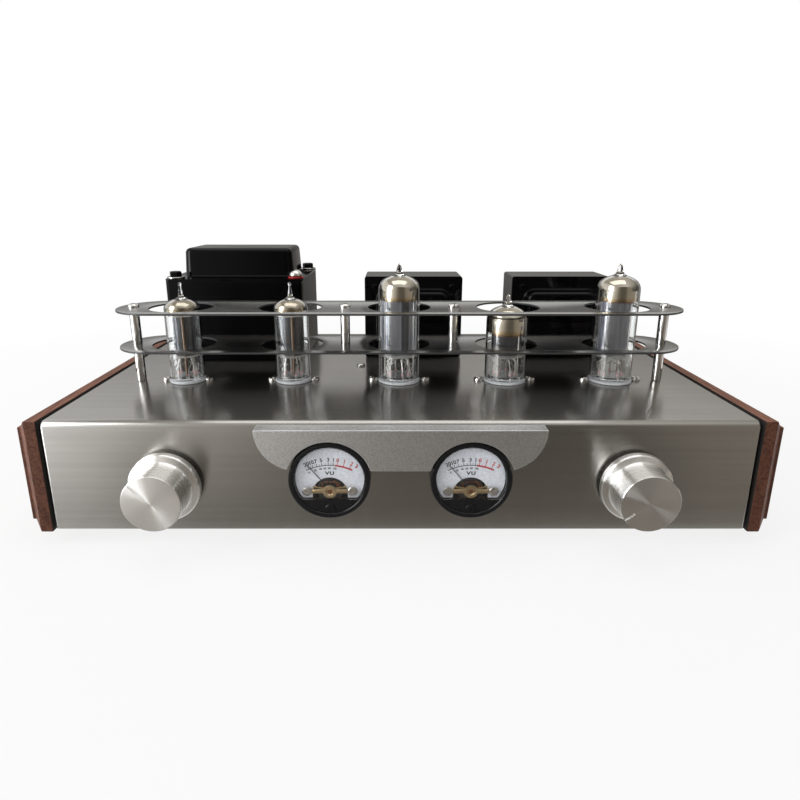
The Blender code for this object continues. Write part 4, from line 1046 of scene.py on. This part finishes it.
def make_meter_works(name, common):
    """The magnet core and coil in the dial's notch, and the brass bridge that carries the pivot's bearing."""
    core_top = DIAL_FRONT + CORE_RISE
    core = moved(disc(CORE_RADIUS, 0, core_top, 48, 0.3), 0, -BRIDGE_DROP)
    piece("meter_core_" + name, core, INK, "black_plastic", **common)
    outer = rounded_rectangle(*COIL_OUTER, (0, -COIL_DROP))
    inner = rounded_rectangle(*COIL_INNER, (0, -COIL_DROP))
    winding = flat_plate((outer, inner), core_top, core_top + COIL_HEIGHT, 0.1)
    piece("meter_coil_" + name, winding, COPPER, "bright_plating", **common)
    leads = []
    for x, y, length, lean in LEADS:
        bar = block(length, LEAD_WIDTH, core_top, core_top + LEAD_HEIGHT)
        leads.append(moved(bar, x, y - BRIDGE_DROP, 0, (0, 0, lean)))
    piece("meter_lead_" + name, joined(leads), COPPER, "red_plastic", **common)

    bar = rounded_rectangle(2 * BRIDGE_HALF, BRIDGE_WIDTH, 0.6, (0, -BRIDGE_DROP))
    arms = [flat_plate((bar,), BRIDGE_LOW, BRIDGE_HIGH, 0.08)]
    screws = []
    for side in (-1, 1):
        rib = block(*RIB_SIZE, BRIDGE_LOW, BRIDGE_HIGH + RIB_RISE)
        spot = (side * RIB_PLACE[0], RIB_PLACE[1] - BRIDGE_DROP)
        arms.append(moved(rib, *spot, 0, (0, 0, side * RIB_LEAN)))
        sleeve = moved(disc(SLEEVE_RADIUS, 0, SLEEVE_LENGTH, 20, 0.2), rotation=(0, side * math.pi / 2, 0))
        arms.append(moved(stretched(sleeve, 1, 1, 0.5), side * SLEEVE_X, -BRIDGE_DROP, BRIDGE_HIGH))
        screws.append(moved(screw("bridge", 40 * side), side * BRIDGE_HALF, -BRIDGE_DROP, BRIDGE_HIGH + 0.01))
        screws.append(moved(disc(PILLAR_RADIUS, DIAL_FRONT, BRIDGE_LOW), side * BRIDGE_HALF, -BRIDGE_DROP))
    arms.append(moved(lathe(BEARING_PROFILE, 48), 0, -BRIDGE_DROP, BRIDGE_HIGH))
    piece("meter_bridge_" + name, joined(arms), BRASS, "bright_plating", **common)
    jewel = lathe(JEWEL_PROFILE, SMALL_ROUND)
    piece("meter_jewel_" + name, moved(jewel, 0, -BRIDGE_DROP, BRIDGE_HIGH), COPPER, "red_plastic", **common)
    piece("meter_screws_" + name, joined(screws), ZINC, "bright_plating", **common)


def make_knob(name):
    """A turned knob with a coned flange, eased edges and a pointer groove."""
    low, high = box(name + "_knob")
    flange = (high.x - low.x) / 2
    length = high.y - low.y
    floor = length - KNOB_FACE_THICKNESS
    inside = [(0, floor), (KNOB_BORE_RADIUS, floor), (KNOB_BORE_RADIUS, KNOB_HOLLOW_DEPTH)]
    inside += [(KNOB_HOLLOW_RADIUS, KNOB_HOLLOW_DEPTH)]
    line = (
        (KNOB_HOLLOW_RADIUS, 0), (KNOB_BACK_RADIUS, 0), (KNOB_BACK_RADIUS, KNOB_RIM_START),
        (flange, KNOB_RIM_START), (flange, KNOB_RIM_LENGTH), (KNOB_BODY_RADIUS, KNOB_FLANGE_LENGTH),
        (KNOB_BODY_RADIUS, length), (0, length),
    )
    angle_deg, depth = GROOVES[name]
    angle = math.radians(angle_deg)
    reach = KNOB_BODY_RADIUS - GROOVE_LENGTH / 2
    slot = block(2 * GROOVE_LENGTH, GROOVE_WIDTH, length - depth, 2 * length, (GROOVE_LENGTH / 2, 0))
    slot = moved(slot, reach * math.cos(angle), reach * math.sin(angle), 0, (0, 0, angle))
    knob = cut(lathe(inside + soften(line, KNOB_EDGE), 128), [slot])
    piece(name + "_knob_turning", knob, KNOB, "turned_aluminium", body=name, replaces=(name + "_knob",),
          place=((low.x + high.x) / 2, high.y, (low.z + high.z) / 2), turn=FACING_FRONT)


# Tubes and guard


def bulb_lines(kind, height):
    """Outer and inner profile of a bulb's wall from its seat up to its pip, and its shoulder's height."""
    crown = CROWNS[kind]
    crown_height = crown[-1][1]
    shoulder = height - crown_height
    radius = crown[0][0]
    outer = [(radius - 0.25, 0.7), (radius, 2.0)] + [(r, shoulder + rise) for r, rise in crown]
    outer = [(radius - SEAT_INSET, 0)] + soften(outer, 0.6, 2)
    inner = [(radius - GLASS_WALL - SEAT_INSET, 0), (radius - GLASS_WALL, 1.4)]
    for r, rise in crown:
        if r > 2.0:
            share = rise / crown_height
            inner.append((max(r - GLASS_WALL * (1 - 0.35 * share), 0), shoulder + rise - GLASS_WALL * share))
    inner.append((0, inner[-1][1] + 0.1))
    return outer, inner, shoulder


def make_tube(index, kind):
    """A tube: blown bulb with its getter film, the works inside, and the socket with its screws."""
    label = f"_{index + 1}"
    low, high = box("tube_glass" + label)
    place = ((low.x + high.x) / 2, (low.y + high.y) / 2, low.z)
    outer, inner, shoulder = bulb_lines(kind, high.z - low.z)
    clear = {"place": place, "shadow": False}
    bulb = lathe(outer + inner[::-1], 64, ring=True)
    piece("bulb" + label, bulb, TUBE_GLASS, "tube_glass", replaces=("tube_glass" + label,), **clear)

    depth = GETTER_DEPTHS[index]
    film = [(0, inner[-1][1] - GETTER_GAP)]
    film += [(r - GETTER_GAP, z - GETTER_GAP) for r, z in inner[::-1] if 0 < r and z >= shoulder]
    film += [(film[-1][0], shoulder - depth * share) for share in (0.25, 0.5, 0.75, 1.0)]
    under = [(max(r - GETTER_THICKNESS, 0), z - GETTER_THICKNESS) for r, z in film]
    finish = getter_mirror(
        "getter film" + label, shoulder + 2, shoulder - depth, GETTER_TONES[kind], GETTER_FRINGES[index]
    )
    piece("getter" + label, lathe(film + under[::-1], 64), finish, "tube_glass", **clear)
    make_electrodes(index, kind, shoulder - ANODE_TOP_GAP, place)
    make_tube_base(index, kind, place)


def make_electrodes(index, kind, top, place):
    """Toothed mica plates, the folded anode between them, and its rods."""
    label = f"_{index + 1}"
    radius = CROWNS[kind][0][0]
    mica = radius - GLASS_WALL - ELECTRODE_GAP
    plates = []
    for level in (ANODE_START - 0.4, top):
        teeth = []
        for step in range(MICA_STEPS):
            angle = 2 * math.pi * step / MICA_STEPS
            reach = mica - (TOOTH_DEPTH if step % 4 < 2 else 0)
            teeth.append((reach * math.cos(angle), reach * math.sin(angle)))
        plates.append(prism(teeth, level, level + MICA_THICKNESS))
    piece("mica" + label, joined(plates), MICA, "ceramic", place=place)

    width = 2 * radius * ANODE_SHARES[index]
    front = -ANODE_THICKNESS / 2
    sheets = [prism(rounded_rectangle(width, ANODE_THICKNESS, ANODE_THICKNESS * 0.42), ANODE_START, top)]
    for side in (-1, 1):
        fin = rounded_rectangle(*FIN_SIZE, (side * (width / 2 + FIN_REACH), 0), 2)
        sheets.append(prism(fin, ANODE_START + FIN_INSET, top - FIN_INSET))
    for share in BAND_SHARES:
        level = ANODE_START + (top - ANODE_START) * share
        band = rounded_rectangle(width + BAND_PROUD, ANODE_THICKNESS + BAND_PROUD, ANODE_THICKNESS * 0.44)
        sheets.append(prism(band, level, level + BAND_HEIGHT))
    finish = ANODE if index in GREY_ANODES else DARK_ANODE
    piece("anode" + label, joined(sheets), finish, "electrode_metal", replaces=("tube_electrodes" + label,),
          place=place)
    if index == CHANNELLED_ANODE:
        channel = rounded_rectangle(*CHANNEL_SIZE, (CHANNEL_SHARE * width, front), 2)
        seams = [prism(channel, ANODE_START + 1.0, top - 1.0)]
        for share in SEAM_SHARES:
            rib = rounded_rectangle(*SEAM_SIZE, (share * width, front - 0.5), 2)
            seams.append(prism(rib, ANODE_START + 1.4, top - 1.4))
        piece("anode_channel" + label, joined(seams), DARK_ANODE, "electrode_metal", place=place)
    spots, thick = RODS[kind]
    finish = BROWN_ROD if kind == "miniature" else NICKEL
    rods = [moved(disc(thick, 2, top + 2, 16, 0.2), share * width, front - ROD_GAP) for share in spots]
    piece("support_rods" + label, joined(rods), finish, "electrode_metal", place=place)


def make_tube_base(index, kind, place):
    """The wires with their beads, the button they pass through, and the socket with its screws."""
    label = f"_{index + 1}"
    wires = []
    beads = []
    pins = PIN_COUNT[kind]
    circle = PIN_CIRCLE[kind]
    for pin in range(pins):
        angle = 2 * math.pi * (pin + 0.5) / (pins + 1) - math.pi / 2
        x = circle * math.cos(angle)
        y = circle * math.sin(angle)
        lean = 0.45 + 0.35 * ((pin * 3) % 4) / 3
        knee = 6.0 + 1.6 * ((pin * 2) % 3)
        wires.append(wire(((x, y, 0.2), (x, y, knee), (x * lean, y * lean, ANODE_START)), WIRE_RADIUS))
        strap = angle + 0.5
        end = (0.8 * circle * math.cos(strap), 0.8 * circle * math.sin(strap), knee + 2.4)
        wires.append(wire(((x * 1.05, y * 1.05, 3.2), (x * 1.25, y * 1.25, knee - 0.6), end), STRAP_RADIUS))
        beads.append(moved(lathe(BEAD_PROFILE, 12), x, y, BEAD_HEIGHT))
    piece("base_wires" + label, joined(wires), NICKEL, "electrode_metal", place=place)
    piece("wire_seals" + label, joined(beads), BEAD, "ceramic", place=place)
    edge = CROWNS[kind][0][0] - GLASS_WALL - ELECTRODE_GAP
    button = lathe(((0, 0.1), (edge - 1.2, 0.1), (edge - 0.6, 1.0), (edge - 1.0, 1.8), (0, 2.0)), 64)
    piece("base_button" + label, button, TUBE_GLASS, "tube_glass", place=place, shadow=False)

    low, high = box("tube_socket" + label)
    deck = box("chassis_shell")[1].z
    on_deck = {"place": (place[0], place[1], deck)}
    rim = (high.x - low.x) / 2
    rise = high.z - deck
    line = ((rim, 0.3), (rim, rise), (rim - 2.2, rise), (rim - 2.6, rise - 0.4), (0, rise - 0.4))
    neck = [(0, -SOCKET_DEPTH), (rim - 1.8, -SOCKET_DEPTH), (rim - 1.8, 0.3)]
    piece("socket_ring" + label, lathe(neck + soften(line, 0.5), 64), CERAMIC, "ceramic",
          replaces=("tube_socket" + label,), **on_deck)
    screws = []
    for side, slot_deg in ((-1, 25), (1, 110)):
        screws.append(moved(screw("socket", slot_deg + 40 * index), side * SOCKET_SCREW_X[kind], 0, 0.02))
    piece("socket_screws" + label, joined(screws), PLATING, "bright_plating", **on_deck)


def make_guard():
    """Both plates of the tube guard and the turned posts with their screws."""
    tubes = [middle(f"tube_glass_{number}") for number in range(1, 6)]
    for level in ("lower", "upper"):
        node = "guard_plate_" + level
        low, high = box(node)
        half_width = (high.y - low.y) / 2
        centre = high.x - half_width
        outline = arc((centre, 0), half_width, -90, 90, 48) + arc((-centre, 0), half_width, 90, 270, 48)
        holes = [arc((tube.x, 0), GUARD_HOLE_RADIUS, 0, 360, ROUND)[:-1] for tube in tubes]
        sheet = flat_plate([outline] + holes, low.z, high.z, GUARD_EDGE)
        # Faces on the plate's edges take the painted shade
        for face in sheet.faces:
            face.material_index = int(abs(face.normal.z) < 0.5)
        piece("guard_sheet_" + level, sheet, RAIL, "rail_steel", replaces=(node,), place=(0, tubes[0].y, 0),
              second=EDGE_PAINTED_SHADE)
    lower_low, lower_top = (corner.z for corner in box("guard_plate_lower"))
    upper_low, upper_top = (corner.z for corner in box("guard_plate_upper"))
    for row in ("outer", "inner"):
        for name, side in SIDES:
            node = f"guard_post_{row}_{name}"
            low, high = box(node)
            shapes = [disc(POST_RADIUS, lower_top, upper_low, 40, 0.2)]
            if row == "outer":
                shapes.append(disc(POST_RADIUS, low.z, lower_low, 40, 0.2))
            shapes.append(moved(screw("post", 60 + 35 * side), z=upper_top))
            if row == "inner":
                shapes.append(disc(SCREWS["post"][0], low.z, lower_low, 6))
            piece(node + "_turning", joined(shapes), PLATING, "bright_plating", replaces=(node,),
                  place=((low.x + high.x) / 2, tubes[0].y, 0))


# Transformers


def bell_rings(width, depth, corner, base, top, edge, taper):
    """Outlines of a drawn cover, flared at its foot and rounded over at its top."""
    rings = [(inset, base + rise) for inset, rise in BELL_FLARE]
    for step in range(6):
        angle = math.pi / 2 * step / 5
        rings.append((taper + edge * (1 - math.cos(angle)), top - edge * (1 - math.sin(angle))))
    made = []
    for inset, height in rings:
        outline = rounded_rectangle(width - 2 * inset, depth - 2 * inset, max(corner - inset, 0.5))
        made.append((outline, height))
    return made


def make_power_transformer():
    """The flat-laid stack, its drawn bell and the corner bolts."""
    low, high = box("power_transformer_core")
    bell_low, bell_high = box("power_transformer_bell")
    common = {"place": ((low.x + high.x) / 2, (low.y + high.y) / 2, 0)}
    outline = rounded_rectangle(high.x - low.x, high.y - low.y, POWER_CORNER)
    stack = prism(outline, low.z, bell_low.z)
    # Faces facing along X take the lighter painted reflection
    for face in stack.faces:
        face.material_index = int(abs(face.normal.x) > 0.7)
    piece("power_stack", stack, POWER_STACK, "lamination", replaces=("power_transformer_core",),
          bevel=POWER_EDGE, second=POWER_SIDE_PAINTED_REFLECTION, **common)
    rim = bell_low.z + BELL_FLANGE
    rings = bell_rings(*POWER_BELL, rim, bell_high.z, *POWER_BELL_FORM)
    cover = loft([(outline, bell_low.z), (outline, rim)] + rings)
    piece("power_bell", cover, VARNISH, "black_varnish", replaces=("power_transformer_bell",), **common)
    silver = []
    dark = []
    red = []
    for corner in CORNERS:
        spot = (corner[0] * POWER_BOLT[0], corner[1] * POWER_BOLT[1], rim)
        if corner == DOMED_BOLT:
            silver.append(moved(lathe(soften(DOME_PROFILE, 1.2), SMALL_ROUND), *spot))
            red.append(moved(disc(FIBRE_RADIUS, 0, WASHER_HEIGHT, edge=0.3), *spot))
        else:
            silver.append(moved(disc(WASHER_RADIUS, 0, WASHER_HEIGHT, edge=0.25), *spot))
            dark.append(moved(lathe(HEXAGON_PROFILE, 6), *spot))
    piece("power_washers", joined(silver), PLATING, "bright_plating", **common)
    piece("power_bolts", joined(dark), VARNISH, "black_varnish", **common)
    piece("power_fibre_washer", joined(red), RED, "red_plastic", **common)


def make_output_transformer(name):
    """A standing stack between two drawn covers held by corner screws."""
    core = "output_transformer_core_" + name
    shell = "output_transformer_cover_" + name
    low, high = box(core)
    cover_low, cover_high = box(shell)
    width = high.x - low.x
    height = high.z - low.z
    x = (low.x + high.x) / 2
    z = (low.z + high.z) / 2
    outline = rounded_rectangle(width, height, OUTPUT_CORNER)
    dome = cover_high.y - BELL_FLANGE - cover_low.y
    rear_plate = high.y - dome - BELL_FLANGE
    front = (x, cover_high.y, z)
    piece("output_stack_" + name, prism(outline, 0, rear_plate - cover_high.y), OUTPUT_STACK, "lamination",
          place=front, turn=FACING_REAR, replaces=(core,), bevel=OUTPUT_EDGE)
    bell = (width - 2 * OUTPUT_DOME_INSET, height - 2 * OUTPUT_DOME_INSET, OUTPUT_DOME_CORNER)
    for label, place, turn, nodes in (
        ("front", front, FACING_FRONT, (shell,)), ("rear", (x, rear_plate, z), FACING_REAR, ()),
    ):
        rings = [(outline, 0), (outline, BELL_FLANGE)]
        rings += bell_rings(*bell, BELL_FLANGE, BELL_FLANGE + dome, *OUTPUT_BELL_FORM)
        piece(f"output_cover_{label}_{name}", loft(rings), VARNISH, "black_varnish", replaces=nodes,
              place=place, turn=turn)
        screws = []
        for sx, sz in CORNERS:
            spot = (sx * (width / 2 - OUTPUT_SCREW_INSET), sz * (height / 2 - OUTPUT_SCREW_INSET))
            screws.append(moved(screw("cover", 30 * sx), *spot, BELL_FLANGE))
        piece(f"output_screws_{label}_{name}", joined(screws), VARNISH, "black_varnish", place=place,
              turn=turn)


# Rear panel


def on_rear(node):
    """Where a rear fitting's pieces are placed, facing back."""
    spot = middle(node)
    return {"place": (spot.x, box("chassis_shell")[1].y, spot.z), "turn": FACING_REAR}


def make_jacks():
    """Four jacks with coloured collars on one plate."""
    low, high = box("input_jacks")
    common = on_rear("input_jacks")
    outline = rounded_rectangle(high.x - low.x, high.z - low.z, JACK_CORNER)
    piece("jack_plate", flat_plate((outline,), PANEL_GAP, JACK_FACE, 0.3), BLACK, "black_plastic",
          replaces=("input_jacks",), **common)
    shells = []
    collars = {-1: [], 1: []}
    for sx, sz in CORNERS:
        spot = (sx * JACK_SPOT[0], sz * JACK_SPOT[1])
        shells.append(moved(lathe([(0, JACK_BORE_FLOOR)] + soften(JACK_PROFILE, 0.4), 48), *spot))
        collars[sz].append(moved(lathe(COLLAR_PROFILE, 48, ring=True), *spot))
    piece("jack_shells", joined(shells), PLATING, "bright_plating", **common)
    piece("jack_collars_red", joined(collars[1]), RED, "red_plastic", **common)
    piece("jack_collars_white", joined(collars[-1]), WHITE, "ceramic", **common)
    letters = []
    for text, side in (("L", 1), ("R", -1)):
        letter = lettering(text, JACK_LETTER_SIZE, JACK_FACE)
        letters.append(moved(letter, side * JACK_SPOT[0], 0, 0, (0, 0, math.pi)))
    piece("jack_letters", joined(letters), WHITE, "ceramic", **common)
    piece("jack_screw", moved(screw("jack", 35), z=JACK_FACE), ZINC, "bright_plating", **common)


def make_inlet_trim():
    """Raised rims round the inlet's mouth and the switch, plated blades, and the marks on the rocker."""
    common = on_rear("mains_inlet")
    rims = []
    for width, height, inner_corner, outer_corner, x in INLET_RIMS:
        inner = rounded_rectangle(width, height, inner_corner, (x, 0))
        outer = rounded_rectangle(width + 2 * RIM_WIDTH, height + 2 * RIM_WIDTH, outer_corner, (x, 0))
        rims.append(flat_plate((outer, inner), INLET_FACE - RIM_SINK, INLET_FACE + RIM_RISE, 0.2))
    piece("inlet_rims", joined(rims), BLACK, "black_plastic", **common)
    blades = []
    end = INLET_MOUTH_FLOOR + BLADE_LENGTH
    for x, y in INLET_BLADES:
        wide = rounded_rectangle(*BLADE_SIZE, (INLET_MOUTH_X + x, y), 2)
        tip = rounded_rectangle(*BLADE_TIP, (INLET_MOUTH_X + x, y), 2)
        blades.append(loft(((wide, INLET_MOUTH_FLOOR), (wide, end - BLADE_TAPER), (tip, end))))
    piece("inlet_blades", joined(blades), PLATING, "bright_plating", **common)

    out, rise = ROCKER_MARK
    slope = math.radians(ROCKER_SLOPE_DEG)
    bar = block(*ROCKER_BAR, 0, MARK_HEIGHT)
    near, far = ROCKER_RING
    ring = lathe(((near, 0), (far, 0), (far, MARK_HEIGHT), (near, MARK_HEIGHT)), 40, ring=True)
    marks = [
        moved(bar, 0, out, rise, (-math.pi / 2 - slope, 0, 0)),
        moved(ring, 0, out, -rise, (-math.pi / 2 + slope, 0, 0)),
    ]
    pivot = Vector(common["place"]) + Vector((ROCKER_X, ROCKER_PIVOT, 0))
    piece("rocker_marks", joined(marks), WHITE, "ceramic", body="rocker", place=pivot,
          turn=(math.radians(ROCKER_TILT_DEG), 0, 0))


def make_terminals():
    """Fluted terminal caps, red for plus and black for minus, with the strip's marks and screws."""
    common = on_rear("speaker_terminals")
    screws = []
    for side in (-1, 1):
        screws.append(moved(screw("terminal", 50 + 60 * side), side * TERMINAL_SCREW_X, 0, TERMINAL_FACE))
    piece("terminal_screws", joined(screws), ZINC, "bright_plating", **common)
    long, thin = TERMINAL_MARK
    marks = []
    for number in TERMINALS:
        bars = [block(long, thin, TERMINAL_FACE, TERMINAL_FACE + PRINT)]
        if number % 2 == 0:
            bars.append(block(thin, long, TERMINAL_FACE, TERMINAL_FACE + PRINT * 0.9))
        x = middle(f"terminal_cap_{number}").x - common["place"][0]
        marks += [moved(bar, x, -TERMINAL_MARK_RISE) for bar in bars]
    piece("terminal_marks", joined(marks), WHITE, "ceramic", **common)

    for number in TERMINALS:
        node = f"terminal_cap_{number}"
        low, high = box(node)
        radius = (high.x - low.x) / 2
        length = high.y - low.y
        flutes = []
        for step in range(CAP_STEPS):
            angle = 2 * math.pi * step / CAP_STEPS
            reach = radius - CAP_FLUTE_DEPTH * (0.5 + 0.5 * math.cos(angle * CAP_FLUTES)) ** 2
            flutes.append((reach * math.cos(angle), reach * math.sin(angle)))
        neck = [(x * CAP_END_SHARE, y * CAP_END_SHARE) for x, y in flutes]
        cap = loft(((neck, 0), (flutes, CAP_EDGE), (flutes, length - CAP_EDGE), (neck, length)))
        finish, slot = (RED, "red_plastic") if number % 2 == 0 else (BLACK, "black_plastic")
        piece(node + "_moulding", cap, finish, slot, body=f"terminal_{number}", replaces=(node,),
              place=((low.x + high.x) / 2, low.y, (low.z + high.z) / 2), turn=FACING_REAR)


def dress_plain_nodes():
    """Finishes for the CAD nodes that stay as they are."""
    finishes = {
        "bottom_plate": STEEL, "selector_shaft": PLATING, "volume_shaft": PLATING, "input_selector": ZINC,
        "volume_control": ZINC, "mains_inlet": BLACK, "power_rocker": BLACK, "speaker_terminals": BLACK,
        "main_board": BOARD, "filter_capacitor": BLACK,
    }
    for node, finish in finishes.items():
        for held in NODES[node].material_slots:
            held.material = finish


# Studio


def seen_directly(tree):
    """1 for rays from the camera, from gloss or through glass, and 0 for light that falls on the object."""
    path = tree.nodes.new("ShaderNodeLightPath").outputs
    either = worked_out(tree, "MAXIMUM", path["Is Camera Ray"], path["Is Glossy Ray"])
    return worked_out(tree, "MAXIMUM", either, path["Is Transmission Ray"])


def show(tree, factor, first, second):
    """Puts a blend of two shaders on the surface."""
    blend = add(tree, "MixShader", {"Fac": factor, 1: first, 2: second})
    feed(tree, tree.nodes["Material Output"], {"Surface": blend})


def floor_finish():
    """A pale matt floor that fades to plain white away from the object's shadow."""
    material, tree, shader = new_finish("floor", (0.86, 0.86, 0.86), 0.9, Specular_IOR_Level=0.0)
    place = add(tree, "TexCoord", {}, "Object")
    distance = add(tree, "VectorMath", {0: place}, "Value", operation="LENGTH")
    share = worked_out(tree, "MULTIPLY", seen_directly(tree), spread(tree, distance, 0.82, 1.0, 0.2, 0.6))
    show(tree, share, shader.outputs["BSDF"], add(tree, "Emission", {"Strength": 1.0}))
    return material


def lamp(name, place, width, height, power):
    """A soft rectangular lamp that faces the object."""
    data = bpy.data.lights.new(name, "AREA")
    data.shape = "RECTANGLE"
    data.size = width
    data.size_y = height
    data.energy = power
    made = bpy.data.objects.new(name, data)
    made.location = place
    made.rotation_euler = (Vector(LAMP_TARGET) - Vector(place)).to_track_quat("-Z", "Y").to_euler()
    bpy.context.scene.collection.objects.link(made)


def fan_tones(tree):
    """Bright to the left and brown beyond, as a room is that has its window on the left."""
    depth = spread(tree, component(tree, "Y"), CARD_FOCUS_Y, CARD_FOCUS_Y + 10.0, 0.0, -10.0)
    across = worked_out(tree, "DIVIDE", component(tree, "X"), depth)
    place = spread(tree, across, 0.0, 1.0, -CARD_SPREAD, CARD_SPREAD)
    near = ramp(tree, place, [fan_stop(stop, level) for stop, level, _ in CARD_TONES])
    far = ramp(tree, place, [fan_stop(stop, level) for stop, _, level in CARD_TONES])
    streaks = ramp(tree, noise(tree, (700, 6, 1), 2.0), ((0.35, (0.8, 0.8, 0.8)), (0.7, (1, 1, 1))))
    streaked = mixed(tree, 1.0, near, streaks, "MULTIPLY")
    return mixed(tree, along(tree, "Y", CARD_NEAR_Y, CARD_FAR_Y), streaked, far)


def fan_stop(place, level):
    """A stop of the front card's tones: bluish white at the window and a warm grey beyond it."""
    warmth = min(max((place + 1.1) / 1.1, 0.0), 1.0)
    scaled = level / CARD_PEAK
    tint = (0.93 + 0.07 * warmth, 0.96 - 0.06 * warmth, 1.0 - 0.22 * warmth)
    return (place + CARD_SPREAD) / (2 * CARD_SPREAD), tuple(scaled * channel for channel in tint)


def line_tones(tree, line):
    """Light that changes along the line of a card, a little brighter and cooler to one side."""
    total = worked_out(tree, "ADD", component(tree, "Y"), component(tree, "Z"))
    start = sum(line[0][:2])
    end = sum(line[-1][:2])
    stops = [((y + z - start) / (end - start), (level, level * 0.97, level * 0.92)) for y, z, level in line]
    tone = ramp(tree, spread(tree, total, 0.0, 1.0, start, end), stops)
    sides = ((0.25, (1.25, 1.27, 1.3)), (0.5, (1, 1, 1)), (0.8, (0.95, 0.93, 0.9)))
    return mixed(tree, 1.0, tone, ramp(tree, along(tree, "X", -1.0, 1.0), sides), "MULTIPLY")


def make_card(name, line, strength, paint, *tones):
    """A glowing card that follows a line on the floor and up.

    It shows in what polished surfaces mirror, inside a bulb too, but not through plain glass.
    """
    shape = bmesh.new()
    rows = [[shape.verts.new((x, y, z)) for x in (-CARD_HALF_WIDTH, CARD_HALF_WIDTH)] for y, z, *_ in line]
    for near, far in zip(rows, rows[1:]):
        shape.faces.new((near[0], near[1], far[1], far[0]))
    material = bpy.data.materials.new(name)
    material.use_nodes = True
    tree = material.node_tree
    tree.nodes.remove(tree.nodes["Principled BSDF"])
    glow = add(tree, "Emission", {"Color": paint(tree, *tones), "Strength": strength})
    mirrored = worked_out(tree, "GREATER_THAN", add(tree, "LightPath", {}, "Glossy Depth"), 0.5)
    show(tree, mirrored, add(tree, "BsdfTransparent", {}), glow)
    card = placed(name, shape, material)
    for rays in ("camera", "diffuse", "volume_scatter", "shadow"):
        setattr(card, "visible_" + rays, False)
    return card


def make_studio():
    """The floor, a white surround, soft lamps, the cards and the camera."""
    scene = bpy.context.scene
    scene.view_settings.view_transform = "Standard"
    floor = bmesh.new()
    bmesh.ops.create_grid(floor, x_segments=1, y_segments=1, size=FLOOR_SIZE)
    placed("floor", floor, floor_finish())

    scene.world = bpy.data.worlds.new("studio")
    scene.world.use_nodes = True
    tree = scene.world.node_tree
    strength = spread(tree, seen_directly(tree), 0.45, 1.0, 0.0, 1.0)
    feed(tree, tree.nodes["Background"], {"Color": (1, 1, 1, 1), "Strength": strength})
    for name, form in LAMPS.items():
        lamp(name, *form)
    make_card("front_card", FRONT_CARD, CARD_PEAK, fan_tones)
    make_card("back_card", BACK_CARD, 1.0, line_tones, BACK_CARD)
    room = make_card("room_card", ROOM_CARD, 1.0, line_tones, ROOM_CARD)
    room.rotation_euler = (0, 0, math.pi / 2)

    lens = bpy.data.cameras.new("camera")
    lens.lens = CAMERA_LENS
    lens.sensor_width = 36
    lens.shift_x, lens.shift_y = CAMERA_SHIFT
    lens.clip_start = 0.01
    camera = bpy.data.objects.new("camera", lens)
    camera.location = CAMERA_PLACE
    camera.rotation_euler = (math.radians(CAMERA_TILT_DEG), 0, 0)
    scene.collection.objects.link(camera)
    scene.camera = camera


make_chassis()
make_wood()
make_feet()
make_badge()
for side_name, _ in SIDES:
    make_meter(side_name)
for knob_name in GROOVES:
    make_knob(knob_name)
for tube_index, tube_kind in enumerate(TUBE_KINDS):
    make_tube(tube_index, tube_kind)
make_guard()
make_power_transformer()
for side_name, _ in SIDES:
    make_output_transformer(side_name)
make_jacks()
make_inlet_trim()
make_terminals()
dress_plain_nodes()
make_studio()
